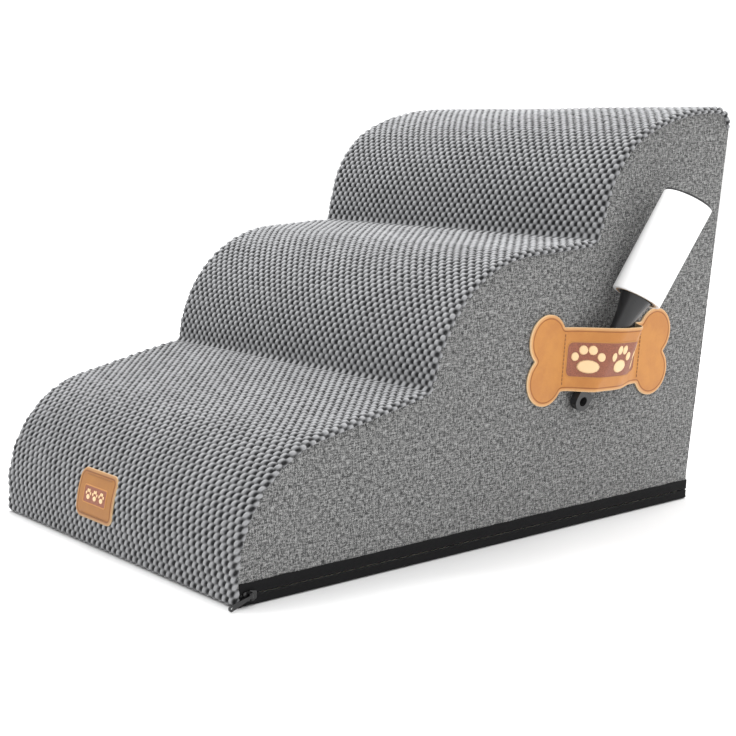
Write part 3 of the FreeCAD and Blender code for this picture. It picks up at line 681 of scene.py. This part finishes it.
def loop_lift(y, z):
    """How far the leather loop stands off the panel: eased up both flanks to a crest over the grip,
    whose place follows the lint roller's axis and so shifts with height."""
    start, axis = spinning()
    along = (z - start[2]) / axis[2]
    crest_y = start[1] + axis[1] * along
    crest = start[0] + axis[0] * along + GRIP_REACH + LOOP_CLEARANCE - PANEL_FACE
    low_y = BONE_Y - LOOP_HALF_SPAN
    high_y = BONE_Y + LOOP_HALF_SPAN
    rise = (y - low_y) / (crest_y - low_y)
    fall = RIGHT_FLANK_STEEPNESS * (high_y - y) / (high_y - crest_y)
    share = np.clip(np.minimum(rise, fall), 0, 1)
    fine = np.linspace(0, 1, 200)
    ease = fine**2 * (3 - 2 * fine)
    return crest * np.interp(share, fine, ease * 0.55 + 0.45 * np.sin(fine * math.pi / 2) ** 1.5)


def bone_outline(count=840):
    """Closed outline (y, z) of the bone about its own middle: two lobes at each end and a bar.

    One quarter is the bar's edge and then the lobe's arc down to the spine. It is mirrored both ways,
    spaced evenly, and its joints are softened by a running mean.
    """
    lobe_y = BONE_LENGTH / 2 - BONE_LOBE_RADIUS
    half_bar = BONE_BAR_HEIGHT / 2
    start = math.asin((half_bar - BONE_LOBE_RISE) / BONE_LOBE_RADIUS)
    turn = np.linspace(math.pi - start, -math.asin(BONE_LOBE_RISE / BONE_LOBE_RADIUS), 400)
    lobe = np.stack(
        [lobe_y + BONE_LOBE_RADIUS * np.cos(turn), BONE_LOBE_RISE + BONE_LOBE_RADIUS * np.sin(turn)], -1
    )
    bar = np.stack([np.linspace(0, lobe[0, 0], 200)[:-1], np.full(199, half_bar)], -1)
    quarter = np.concatenate([bar, lobe])
    right = np.concatenate([quarter, (quarter * [1, -1])[::-1][1:]])
    whole = np.concatenate([right, (right * [-1, 1])[::-1][1:-1]])
    points = evenly(whole, count)
    for _ in range(6):
        points = (np.roll(points, 1, 0) + 2 * points + np.roll(points, -1, 0)) / 4
    return points


def outward(points):
    """Unit normals of a closed clockwise outline."""
    way = np.roll(points, -1, 0) - np.roll(points, 1, 0)
    way = way / np.hypot(way[:, 0], way[:, 1])[:, None]
    return np.stack([-way[:, 1], way[:, 0]], -1)


def on_bone(flat, height):
    """Carries points (y, z) about the bone's middle, at a height above the panel, onto the loop."""
    c = math.cos(BONE_TILT)
    s = math.sin(BONE_TILT)
    y = BONE_Y + flat[..., 0] * c - flat[..., 1] * s
    z = BONE_Z + flat[..., 0] * s + flat[..., 1] * c
    return np.stack([PANEL_FACE + loop_lift(y, z) + height, y, z], -1)


def leather_rings(points, inner, insets):
    """Rings of flat points: set in from an outline by each inset, then in even steps to the inner line."""
    normal = outward(points)
    rings = [points - inset * normal for inset in insets]
    last = rings[-1]
    rings += [last + t * (inner - last) for t in np.linspace(0, 1, 24)[1:]]
    return np.array(rings)


def leather_face_height(inset):
    """Height over the face: a rounded cut edge and one pressed line set in from it."""
    rounded = -0.0006 * np.clip(1 - inset / 0.0012, 0, 1) ** 2
    line = -0.00045 * np.exp(-(((inset - BORDER_INSET) / 0.00045) ** 2))
    return rounded + line


FACE_INSETS = np.array(
    [0, 0.3, 0.7, 1.2, 2.0, 2.8, 3.3, 3.6, 3.9, 4.2, 4.5, 4.8, 5.1, 5.6, 6.4, 7.5]
) * MM


def leather_piece(name, outline_points, inner, place, thickness):
    """A leather cut-out: face rings, a rim and back rings, closed along its inner line.

    place(flat, height) puts flat points at a height above what the leather lies on. The UV map holds
    distance in from the cut edge and distance round it.
    """
    rings = leather_rings(outline_points, inner, FACE_INSETS)
    inset = np.concatenate([FACE_INSETS, FACE_INSETS[-1] + np.linspace(0, 0.03, 24)[1:]])
    front = [place(ring, thickness + leather_face_height(d)) for ring, d in zip(rings, inset)]
    back = [place(ring, LEATHER_BACK) for ring in rings]
    mid = [place(rings[0], thickness * 0.5)]
    stack = np.array(front[::-1] + mid + back)
    depth = np.concatenate([inset[::-1], [0.0], 0 * inset])
    cols = stack.shape[1]
    round_it = np.linspace(0, 1, cols + 1)
    return surface(name, stack, spread(depth, round_it), wrap_cols=True)


def emblem_field(name, width, height, corner, place, lift):
    """A pressed rectangle with round corners and a raised frame, as a thin inlay over the leather.

    A square grid of shares (a, b) from -1 to 1 is drawn out to the rectangle, with each corner's grid
    point pulled in along its diagonal onto the corner's arc. The UV map's u is 0 on the frame and 1
    inside it.
    """
    margin = np.array([0.0, 0.0002, 0.0005, 0.0008, 0.0011, 0.0014, 0.0018])
    half = np.array([width, height]) / 2
    axes = []
    for reach in half:
        rim = reach - margin
        middle = np.linspace(-rim[-1], rim[-1], int(rim[-1] / 0.0009) + 3)[1:-1]
        axes.append(np.concatenate([-rim, middle, rim[::-1]]))
    y, z = np.meshgrid(*axes, indexing="ij")
    over_y = np.abs(y) - (half[0] - corner)
    over_z = np.abs(z) - (half[1] - corner)
    square = np.maximum(over_y, over_z)
    radial = np.hypot(over_y, over_z)
    in_corner = (over_y > 0) & (over_z > 0)
    pull = np.where(in_corner, square / np.maximum(radial, 1e-9), 1.0)
    y = np.sign(y) * np.where(in_corner, half[0] - corner + over_y * pull, np.abs(y))
    z = np.sign(z) * np.where(in_corner, half[1] - corner + over_z * pull, np.abs(z))
    inset = np.where(in_corner, corner - square, np.minimum(half[0] - np.abs(y), half[1] - np.abs(z)))
    ridge = 0.00035 * smooth(inset / 0.0003) * smooth((0.0014 - inset) / 0.0003)
    points = place(np.stack([y, z], -1), lift + ridge - 0.0003 * (inset < 0.0001))
    tone = np.clip((inset - 0.0011) / 0.0003, 0, 1)
    return surface(name, points, np.stack([tone, 0 * tone], -1), flip=True)


def paw_prints(name, middles, size, place, lift):
    """Plain raised paw prints: a broad pad under four toes, each a low bead laid on the leather."""
    shape, faces = dome(1.0, 1.0, 16)
    pads = [(0.0, -0.28, 0.36, 0.28), (-0.42, 0.12, 0.14, 0.19), (-0.15, 0.40, 0.15, 0.20)]
    pads += [(-y, z, a, b) for y, z, a, b in pads[1:]]
    points = []
    for middle in middles:
        for y, z, a, b in pads:
            flat = np.array([middle, 0.0]) + size * (np.array([y, z]) + shape[:, :2] * [a, b])
            points.append(place(flat, lift + 0.0006 * shape[:, 2]))
    return repeated(name, np.zeros_like(shape), faces, np.array(points))


def on_front(flat, height):
    """Carries points (x, z) about the badge's middle onto the bumpy plush of the front."""
    low, high = box_size("front_badge")
    x = (low[0] + high[0]) / 2 + flat[..., 0]
    z = (low[2] + high[2]) / 2 + flat[..., 1]
    rising = ALONG[: np.flatnonzero(PATH[:, 1] > 0.2)[0]]
    s = np.interp(z, PATH[: len(rising), 1], rising)
    yz, normal = on_outline(s)
    yz = yz + np.asarray(height)[..., None] * normal
    return np.stack([x, yz[..., 0], yz[..., 1]], -1)


def badge_outline(width=0.065, height=0.046, corner=0.009, count=360):
    """Closed outline of the badge: a rectangle whose corners are arcs."""
    y = width / 2 - corner
    z = height / 2 - corner
    arcs = []
    for start, (sy, sz) in zip((90, 0, -90, -180), ((1, 1), (1, -1), (-1, -1), (-1, 1))):
        turn = np.radians(np.linspace(start, start - 90, 40))
        arcs.append(np.stack([sy * y + corner * np.cos(turn), sz * z + corner * np.sin(turn)], -1))
    return evenly(np.concatenate(arcs), count)


# ---------------------------------------------------------------- lint roller

ROLL_LENGTH = 0.1016
ROLL_RADIUS = 0.0245
ROLL_BORE = 0.0209


def roller_axes():
    """Origin and the outward, sideways and axial directions of the lint roller."""
    start, axis = spinning()
    axis = axis / np.linalg.norm(axis)
    out = np.array([1.0, 0, 0]) - axis * axis[0]
    out = out / np.linalg.norm(out)
    return start, out, np.cross(axis, out), axis


def paper_roll():
    """The wound paper: a thick tube whose outer radius falls by one sheet at its free edge, with
    rounded rims and faintly stepped ends."""
    start, out, sideways, axis = roller_axes()
    turn = np.arange(180) * TURN / 180
    step = 0.00022 * ((turn - 2.4) % TURN) / TURN
    profile = [
        (ROLL_BORE, 0.0), (ROLL_BORE + 0.001, 0.0), (ROLL_BORE + 0.002, 0.00012), (ROLL_RADIUS - 0.0006, 0.0),
        (ROLL_RADIUS - 0.0002, 0.00012), (ROLL_RADIUS, 0.0005),
    ]
    lower = np.array(profile)
    side = np.stack([np.full(20, ROLL_RADIUS), np.linspace(0.004, ROLL_LENGTH - 0.004, 20)], -1)
    upper = lower[::-1] * [1, -1] + [0, ROLL_LENGTH]
    inner = np.stack([np.full(6, ROLL_BORE), np.linspace(ROLL_LENGTH - 0.004, 0.004, 6)], -1)
    rings = np.concatenate([lower, side, upper, inner])
    radius = rings[:, 0, None] - step[None] * (rings[:, 0, None] > ROLL_RADIUS - 0.001)
    points = (
        start
        + rings[:, 1, None, None] * axis
        + radius[..., None] * (np.cos(turn)[:, None] * out + np.sin(turn)[:, None] * sideways)
    )
    round_it = np.linspace(0, 1, 181)
    depth = np.concatenate([rings[:, 1], rings[:1, 1]])
    uv = spread(depth, round_it)[..., ::-1]
    return surface("paper_roll", points, uv, wrap_rows=True, wrap_cols=True)


# ---------------------------------------------------------------- finishes


class Wire:
    """An output socket in a material, with the arithmetic that adds Math nodes."""

    def __init__(self, finish, socket):
        self.finish = finish
        self.socket = socket

    def __add__(self, other):
        return self.finish.math("ADD", self, other)

    def __radd__(self, other):
        return self.finish.math("ADD", other, self)

    def __sub__(self, other):
        return self.finish.math("SUBTRACT", self, other)

    def __rsub__(self, other):
        return self.finish.math("SUBTRACT", other, self)

    def __mul__(self, other):
        return self.finish.math("MULTIPLY", self, other)

    def __rmul__(self, other):
        return self.finish.math("MULTIPLY", other, self)


class Finish:
    """A material under construction."""

    def __init__(self, name):
        self.material = bpy.data.materials.new(name)
        self.material.use_nodes = True
        self.tree = self.material.node_tree
        self.tree.nodes.clear()
        self.shader = self.tree.nodes.new("ShaderNodeBsdfPrincipled")
        output = self.tree.nodes.new("ShaderNodeOutputMaterial")
        self.tree.links.new(self.shader.outputs[0], output.inputs[0])

    def plug(self, socket, value):
        """Links a wire to a socket, or sets the socket's own value."""
        if isinstance(value, Wire):
            self.tree.links.new(value.socket, socket)
        elif hasattr(value, "__len__") and len(value) == 3 and socket.type == "RGBA":
            socket.default_value = (*value, 1.0)
        else:
            socket.default_value = value

    def node(self, kind, values=None, out=0, stops=None, **settings):
        """Any node: its settings and ramp stops first, then the values or wires of its sockets."""
        made = self.tree.nodes.new(kind)
        for key, value in settings.items():
            setattr(made, key, value)
        if stops:
            ramp = made.color_ramp
            while len(ramp.elements) < len(stops):
                ramp.elements.new(0.5)
            for element, (place, colour) in zip(ramp.elements, stops):
                element.position = place
                element.color = (*colour, 1.0)
        for key, value in (values or {}).items():
            self.plug(made.inputs[key], value)
        return Wire(self, made.outputs[out])

    def math(self, operation, *values):
        return self.node("ShaderNodeMath", dict(enumerate(values)), operation=operation)

    def place(self, source="Object"):
        """Object coordinates or the UV map, as three wires."""
        coordinates = self.node("ShaderNodeTexCoord", out=source)
        split = self.node("ShaderNodeSeparateXYZ", {0: coordinates})
        outputs = split.socket.node.outputs
        return coordinates, [Wire(self, outputs[k]) for k in range(3)]

    def vector(self, x, y, z=0.0):
        return self.node("ShaderNodeCombineXYZ", {0: x, 1: y, 2: z})

    def noise(self, vector, scale, detail=2.0, rough=0.5):
        values = {"Vector": vector, "Scale": scale, "Detail": detail, "Roughness": rough}
        return self.node("ShaderNodeTexNoise", values)

    def mix(self, share, a, b):
        """Colour a where share is 0 and b where it is 1."""
        return self.node("ShaderNodeMix", {0: share, 6: a, 7: b}, out=2, data_type="RGBA")

    def between(self, value, low, high):
        """0 at low and 1 at high, eased."""
        values = {0: value, 1: low, 2: high}
        return self.node("ShaderNodeMapRange", values, interpolation_type="SMOOTHSTEP")

    def bump(self, height, distance, strength=1.0, normal=None):
        values = {"Height": height, "Distance": distance, "Strength": strength}
        if normal:
            values["Normal"] = normal
        return self.node("ShaderNodeBump", values)

    def done(self, **sockets):
        """Sets the shader's sockets by their names and returns the material."""
        for name, value in sockets.items():
            self.plug(self.shader.inputs[name.replace("_", " ")], value)
        return self.material


def plush_finish(cover):
    """Knitted plush: the plush colour on the tops of the bumps, a dark colour between them that is painted
    shade, a fine nap and slow changes of tone.
    """
    f = Finish("plush_knit")
    _, (u, v, _) = f.place("UV")
    where, _ = f.place()
    bumps = f.math("COSINE", u * TURN) * f.math("COSINE", v * TURN)
    # 1 on the tops of the bumps and 0 in the grooves, where the dark colour paints shade.
    top = f.between(bumps, -0.60, 0.72)
    nap = f.noise(where, 1500.0, 3.0)
    cloud = f.noise(where, 14.0, 2.0)
    shade = f.mix(f.between(nap, 0.30, 0.72), tuple(0.78 * c for c in cover.plush), tuple(cover.plush))
    shade = f.mix(f.between(cloud, 0.3, 0.7) * 0.35, shade, tuple(1.2 * c for c in cover.plush))
    colour = f.mix(top, tuple(cover.painted_groove_shade), shade)
    fluff = f.bump(nap, 0.0005, 0.6)
    fluff = f.bump(f.noise(where, 480.0, 2.0), 0.0008, 0.5, fluff)
    return f.done(
        Base_Color=colour, Roughness=0.95, Normal=fluff, Sheen_Weight=0.25, Sheen_Roughness=0.6,
        Specular_IOR_Level=0.2,
    )


def linen_finish(name, light, dark):
    """Heathered plain weave on a UV map in metres: each yarn has its own streaked shade, warp and weft
    pass over each other, and a few thick slubs run both ways."""
    f = Finish(name)
    _, (u, v, _) = f.place("UV")
    count = 640.0
    warp = f.noise(f.vector(u * count, v * 190.0), 1.0, 2.5, 0.65)
    weft = f.noise(f.vector(u * 190.0, v * count, 7.0), 1.0, 2.5, 0.65)
    over = f.math("SINE", u * (count * 4.6)) * f.math("SINE", v * (count * 4.6))
    yarn = f.mix(f.between(over, -0.25, 0.25), warp, weft)
    slub_up = f.noise(f.vector(u * 420.0, v * 14.0, 3.0), 1.0, 1.0)
    slub_across = f.noise(f.vector(u * 14.0, v * 420.0, 5.0), 1.0, 1.0)
    slub = f.between(slub_up, 0.70, 0.80) * 0.16 + f.between(slub_across, 0.70, 0.80) * 0.16
    broad = f.noise(f.vector(u * 35.0, v * 35.0), 1.0, 2.0)
    level = f.between(yarn, 0.34, 0.68) + slub + (broad - 0.5) * 0.10
    colour = f.node(
        "ShaderNodeValToRGB",
        {0: level},
        stops=[(0.0, dark), (0.45, tuple(0.36 * a + 0.64 * b for a, b in zip(light, dark))), (1.0, light)],
    )
    weave = f.bump(over * 0.5 + yarn, 0.00025, 0.5)
    return f.done(Base_Color=colour, Roughness=0.92, Normal=weave, Sheen_Weight=0.1, Specular_IOR_Level=0.25)


def tape_finish(black):
    """Black woven tape: fine cross ribs, a dusty lighter yarn here and there."""
    f = Finish("zip_tape_weave")
    _, (u, v, _) = f.place("UV")
    ribs = f.math("SINE", u * 5200.0) * f.math("SINE", v * 6800.0)
    fleck = f.noise(f.vector(u * 900.0, v * 1500.0), 1.0, 2.0)
    colour = f.mix(f.between(fleck, 0.55, 0.85), tuple(black), tuple(2.0 * c for c in black))
    return f.done(Base_Color=colour, Roughness=0.9, Normal=f.bump(ribs, 0.0002, 0.6), Specular_IOR_Level=0.15)


def leather_finish(trim, name="tan_leather", tone=1.0):
    """Tan leather read from distance in from the cut edge: pale edge, darker pressed line, mottled face
    with fine grain, polished where it is rubbed. A tone below 1 darkens all of it as painted shade."""
    f = Finish(name)
    _, (inset, _, _) = f.place("UV")
    where, _ = f.place()
    # tone scales the tan and the cut edge; below 1 it is painted shade over the whole leather.
    tan = tuple(tone * c for c in trim.leather)
    cut = tuple(tone * c for c in trim.leather_edge)
    mottle = f.noise(where, 38.0, 4.0, 0.6)
    orange = f.mix(f.between(mottle, 0.35, 0.70), tuple(c * k for c, k in zip(tan, (0.86, 0.78, 0.70))), tan)
    speck = f.noise(where, 900.0, 2.0)
    face = f.mix(f.between(speck, 0.55, 0.8) * 0.25, orange, tuple(c * 0.6 for c in tan))
    rubbed = f.mix(f.between(inset, 0.0040, 0.0004) * 0.35, face, cut)
    line = f.between(inset, BORDER_INSET - 0.0009, BORDER_INSET - 0.0002)
    line = line * f.between(inset, BORDER_INSET + 0.0009, BORDER_INSET + 0.0002)
    pressed = f.mix(line * 0.75, rubbed, tuple(c * k for c, k in zip(tan, (0.45, 0.32, 0.30))))
    edge = f.between(inset, 0.0006, 0.0001)
    colour = f.mix(edge, pressed, cut)
    grain = f.node(
        "ShaderNodeTexVoronoi", {"Vector": where, "Scale": 750.0}, feature="DISTANCE_TO_EDGE"
    )
    skin = f.bump(grain, 0.00012, 0.5)
    rough = 0.46 + 0.14 * f.between(mottle, 0.3, 0.7)
    return f.done(Base_Color=colour, Roughness=rough, Normal=skin, Specular_IOR_Level=0.45)


def field_finish(trim):
    """Brown pressed leather inside a tan frame; UV u is 0 on the frame and 1 in the field."""
    f = Finish("pressed_field")
    _, (inside, _, _) = f.place("UV")
    where, _ = f.place()
    brown = tuple(trim.field)
    speck = f.noise(where, 1100.0, 2.0)
    field = f.mix(f.between(speck, 0.35, 0.75), brown, tuple(1.7 * c for c in brown))
    colour = f.mix(inside, tuple(c * 0.85 for c in trim.leather), field)
    return f.done(Base_Color=colour, Roughness=0.55, Normal=f.bump(speck, 0.0002, 0.5))


def plain_finish(name, colour, rough, grain=900.0, depth=0.0001, variation=0.25, **sockets):
    """A moulded, painted or pulpy surface: slight colour drift, speckled roughness and a fine grain."""
    f = Finish(name)
    where, _ = f.place()
    drift = f.noise(where, 30.0, 3.0)
    speck = f.noise(where, grain, 2.0)
    colour = tuple(colour)
    paler = tuple(min(1.0, 1.35 * c + 0.004) for c in colour)
    tint = f.mix(f.between(drift, 0.3, 0.7) * variation, colour, paler)
    scuffed = rough + (speck - 0.5) * 0.12
    return f.done(Base_Color=tint, Roughness=scuffed, Normal=f.bump(speck, depth, 0.35), **sockets)


def finishes(scene):
    """Every material by the record's slot name, and the extra ones by their own."""
    cover = scene.ramp_cover
    trim = scene.ramp_trim
    black = tuple(trim.black)
    return {
        "plush": plush_finish(cover),
        "linen": linen_finish("heather_linen", tuple(cover.linen_light), tuple(cover.linen_dark)),
        "non_slip": linen_finish("base_cloth", (0.05, 0.05, 0.052), (0.012, 0.012, 0.013)),
        "grip": plain_finish("grip_rubber", (0.03, 0.03, 0.032), 0.6),
        "foam": plain_finish("foam", (0.78, 0.74, 0.62), 0.9, 700.0, 0.0006),
        "binding": tape_finish(black),
        "zip_tape": tape_finish(black),
        "zip_coil": plain_finish("coil_nylon", (0.06, 0.06, 0.063), 0.35),
        "zip_metal": plain_finish("slider_lacquer", (0.006, 0.006, 0.0065), 0.25, Coat_Weight=0.3),
        "leather": leather_finish(trim),
        # The badge: the tan leather darkened to 0.66, painted shade on the front-facing badge.
        "badge": leather_finish(trim, "badge_leather_painted_shade", 0.66),
        "thread": plain_finish("thread", (0.26, 0.12, 0.045), 0.7, 2500.0, 0.0002),
        "field": field_finish(trim),
        "handle_plastic": plain_finish("handle_plastic", (0.014, 0.014, 0.015), 0.30, 1600.0, 0.00005),
        "cage_plastic": plain_finish("cage_plastic", (0.10, 0.10, 0.11), 0.45),
        "cap_plastic": plain_finish("cap_plastic", (0.012, 0.012, 0.013), 0.4),
        "cardboard": plain_finish("cardboard", (0.50, 0.36, 0.22), 0.85, 1400.0, 0.0003),
        "adhesive_paper": plain_finish(
            "adhesive_paper", tuple(trim.paper), 0.42, 1200.0, 0.00003, 0.0, Coat_Weight=0.1
        ),
    }


FINISHES = {}


def finish_for(slot):
    """The material of a slot, made when first needed."""
    if not FINISHES:
        FINISHES.update(finishes(bpy.context.scene))
    return FINISHES[slot]


def fit(piece, body, material, slot, *nodes):
    """Gives a new piece its material and body and hides the CAD nodes it stands for. The slot argument is not
    used.
    """
    piece.data.materials.clear()
    piece.data.materials.append(finish_for(material))
    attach(piece, body)
    if nodes:
        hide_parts(*nodes)
    return piece


def dress(node, material):
    """Gives a CAD node that is shown its material."""
    obj = frame["nodes"][node]
    obj.data.materials.clear()
    obj.data.materials.append(finish_for(material))
    return obj


# ---------------------------------------------------------------- operators


class RampOperator(bpy.types.Operator):
    """Shared settings of the ramp's operators."""

    bl_options = {"REGISTER"}


FLOOR_SPAN = 14.0
FLOOR_SHADE = 0.82
SKY_STRENGTH = 1.28
CAMERA_PLACE = (1.1234, -0.9802, 0.3984)
CAMERA_LENS = 70.91
CAMERA_SHIFT = (0.2049, 0.2359)


class RAMP_OT_stage(RampOperator):
    """Floor, backdrop, soft light and camera."""

    bl_idname = "ramp.stage"
    bl_label = "Stage"

    def execute(self, context):
        scene = context.scene
        settings = scene.ramp_stage
        ends = FLOOR_SPAN * np.array([[[-1, -1, 0], [1, -1, 0]], [[-1, 1, 0], [1, 1, 0]]])
        floor = surface("floor", ends)
        white = Finish("studio_floor")
        pale = white.done(Base_Color=(FLOOR_SHADE,) * 3, Roughness=0.9, Specular_IOR_Level=0.0)
        floor.data.materials.append(pale)
        world = bpy.data.worlds.new("studio")
        world.use_nodes = True
        sky = world.node_tree.nodes["Background"]
        sky.inputs[0].default_value = (1.0, 1.0, 1.0, 1.0)
        sky.inputs[1].default_value = SKY_STRENGTH
        scene.world = world
        scene.view_settings.view_transform = "Standard"
        lights = [
            ("key", (-0.9, 0.3, 2.3), (0.0, 0.0, 0.15), 1.5, settings.key_power),
            ("back", (0.3, 1.7, 1.9), (0.0, 0.0, 0.2), 1.4, 0.5 * settings.key_power),
        ]
        for name, place, target, size, power in lights:
            lamp = bpy.data.lights.new(name, "AREA")
            lamp.size = size
            lamp.energy = power
            obj = bpy.data.objects.new(name, lamp)
            obj.location = place
            obj.rotation_euler = (Vector(target) - Vector(place)).to_track_quat("-Z", "Y").to_euler()
            scene.collection.objects.link(obj)
        self.camera(scene, settings)
        return {"FINISHED"}

    def camera(self, scene, settings):
        """A camera turned by azimuth and elevation, then rolled about its own axis."""
        data = bpy.data.cameras.new("camera")
        data.sensor_width = 36.0
        data.lens = CAMERA_LENS
        data.shift_x, data.shift_y = CAMERA_SHIFT
        camera = bpy.data.objects.new("camera", data)
        a = settings.azimuth
        e = settings.elevation
        forward = Vector((-math.sin(a) * math.cos(e), math.cos(a) * math.cos(e), -math.sin(e)))
        camera.rotation_mode = "QUATERNION"
        aim = forward.to_track_quat("-Z", "Y")
        camera.rotation_quaternion = Matrix.Rotation(settings.roll, 3, -forward).to_quaternion() @ aim
        camera.location = CAMERA_PLACE
        scene.collection.objects.link(camera)
        scene.camera = camera


class RAMP_OT_plush(RampOperator):
    """Bumpy plush over the steps, in three lengths that meet in the creases."""

    bl_idname = "ramp.plush"
    bl_label = "Plush tread"

    def execute(self, context):
        for piece, width, length in plush_pieces(context.scene.ramp_cover):
            fit(piece, "ramp", "plush", "plush", "tread_cover")
        return {"FINISHED"}


class RAMP_OT_linen(RampOperator):
    """Woven side and back panels."""

    bl_idname = "ramp.linen"
    bl_label = "Linen panels"

    def execute(self, context):
        for side, hand in ((1, "right"), (-1, "left")):
            points, uv = side_sheet(side)
            piece = surface("linen_" + hand, points, uv, flip=side < 0)
            thicken(piece, LINEN_THICKNESS)
            fit(piece, "ramp", "linen", "linen", "side_panel_" + hand)
            top_y, top_z = points[-1, :, 1], points[-1, :, 2]
            area = abs(float(np.sum(np.diff(top_y) * (top_z[1:] + top_z[:-1]) / 2)))
        points, uv = back_sheet()
        piece = surface("linen_back", points, uv)
        thicken(piece, LINEN_THICKNESS)
        fit(piece, "ramp", "linen", "linen", "back_panel")
        return {"FINISHED"}


class RAMP_OT_base(RampOperator):
    """Non-slip base with its dots, the front binding and the foam inside."""

    bl_idname = "ramp.base"
    bl_label = "Base and core"

    def execute(self, context):
        points, uv = base_sheet()
        piece = surface("base_cloth", points, uv, flip=True)
        thicken(piece, BASE_CLOTH_THICKNESS)
        fit(piece, "ramp", "non_slip", "non_slip", "base_panel")
        fit(base_dots(), "ramp", "grip", "non_slip")
        fit(hem_roll(), "ramp", "binding", "binding", "front_hem_binding")
        dress("foam_core", "foam")
        return {"FINISHED"}


class RAMP_OT_zip(RampOperator):
    """Zip tapes, coils, end stops, slider and pull."""

    bl_idname = "ramp.zip"
    bl_label = "Zip"

    def execute(self, context):
        for half in ("upper", "lower"):
            low, high = box_size("zip_tape_" + half)
            piece = zip_tape(half + "_tape", float(low[2]), float(high[2]), half == "upper")
            fit(piece, "ramp", "zip_tape", "zip_tape", "zip_tape_" + half)
        for half, below, above in (("upper", TEETH_OVERLAP, 0.0), ("lower", 0.0, TEETH_OVERLAP)):
            low, high = box_size("zip_coil_" + half)
            piece = zip_teeth(half + "_teeth", float(low[2]) - below, float(high[2]) + above)
            fit(piece, "ramp", "zip_coil", "zip_coil", "zip_coil_" + half)
        for node in ("zip_end_stops", "zip_slider", "zip_pull"):
            dress(node, "zip_metal")
        return {"FINISHED"}


class RAMP_OT_badge(RampOperator):
    """Leather badge with a pressed border and a plain emblem."""

    bl_idname = "ramp.badge"
    bl_label = "Front badge"

    def execute(self, context):
        outline_points = badge_outline()
        inner = outline_points * [0.35, 0.0]
        piece = leather_piece("badge_leather_painted_shade", outline_points, inner, on_front, 0.0018)
        fit(piece, "ramp", "badge", "leather", "front_badge")
        field = emblem_field("badge_field", 0.041, 0.0175, 0.0025, on_front, 0.0019)
        fit(field, "ramp", "field", "leather")
        paws = paw_prints("badge_paws", (-0.0115, 0.0, 0.0115), 0.0085, on_front, 0.0020)
        fit(paws, "ramp", "leather", "leather")
        dress("badge_stitching", "thread")
        return {"FINISHED"}


class RAMP_OT_bone(RampOperator):
    """Bone-shaped leather loop with its border, seams and a plain emblem."""

    bl_idname = "ramp.bone"
    bl_label = "Bone loop"

    def execute(self, context):
        outline_points = bone_outline()
        reach = BONE_LENGTH / 2 - BONE_LOBE_RADIUS
        inner = np.stack([np.clip(outline_points[:, 0], -reach, reach), 0 * outline_points[:, 1]], -1)
        piece = leather_piece("bone_leather", outline_points, inner, on_bone, BONE_THICKNESS)
        fit(piece, "ramp", "leather", "leather", "bone_loop")

        def place(flat, height):
            return on_bone(flat + EMBLEM_SHIFT, height)

        lift = BONE_THICKNESS + 0.0001
        field = emblem_field("bone_field", EMBLEM_WIDTH, EMBLEM_HEIGHT, 0.0065, place, lift)
        fit(field, "ramp", "field", "leather")
        middles = (-0.032, 0.0, 0.032)
        paws = paw_prints("bone_paws", middles, 0.023, place, BONE_THICKNESS + 0.0002)
        fit(paws, "ramp", "leather", "leather")
        dress("bone_stitching", "thread")
        return {"FINISHED"}


class RAMP_OT_roller(RampOperator):
    """Lint roller: wound paper over its core, drum, cap and handle."""

    bl_idname = "ramp.roller"
    bl_label = "Lint roller"

    def execute(self, context):
        fit(paper_roll(), "lint_roll", "adhesive_paper", "adhesive_paper", "adhesive_sheets")
        plain = {
            "cardboard_core": "cardboard",
            "roller_drum": "cage_plastic",
            "roller_end_cap": "cap_plastic",
            "roller_handle": "handle_plastic",
            "spindle_retainer": "cage_plastic",
        }
        for node, material in plain.items():
            dress(node, material)
        return {"FINISHED"}


class RAMP_PT_panel(bpy.types.Panel):
    """Lists the ramp's operators and settings."""

    bl_idname = "RAMP_PT_panel"
    bl_label = "Pet Ramp"
    bl_space_type = "VIEW_3D"
    bl_region_type = "UI"
    bl_category = "Pet Ramp"

    def draw(self, context):
        column = self.layout.column(align=True)
        for name in STEPS:
            column.operator("ramp." + name)
        for group in SETTINGS:
            settings = getattr(context.scene, group)
            for prop in type(settings).__annotations__:
                column.prop(settings, prop)


STEPS = ("stage", "plush", "linen", "base", "zip", "badge", "bone", "roller")
SETTINGS = {"ramp_cover": CoverSettings, "ramp_trim": TrimSettings, "ramp_stage": StageSettings}
CLASSES = (
    CoverSettings, TrimSettings, StageSettings, RAMP_OT_stage, RAMP_OT_plush, RAMP_OT_linen, RAMP_OT_base,
    RAMP_OT_zip, RAMP_OT_badge, RAMP_OT_bone, RAMP_OT_roller, RAMP_PT_panel,
)


def register():
    """Adds the classes and the scene's settings."""
    for cls in CLASSES:
        bpy.utils.register_class(cls)
    for name, group in SETTINGS.items():
        setattr(bpy.types.Scene, name, bpy.props.PointerProperty(type=group))


def unregister():
    """Takes them away again."""
    for name in SETTINGS:
        delattr(bpy.types.Scene, name)
    for cls in reversed(CLASSES):
        bpy.utils.unregister_class(cls)


def main():
    register()
    for name in STEPS:
        getattr(bpy.ops.ramp, name)()
    bpy.context.view_layer.update()


if __name__ == "__main__":
    main()
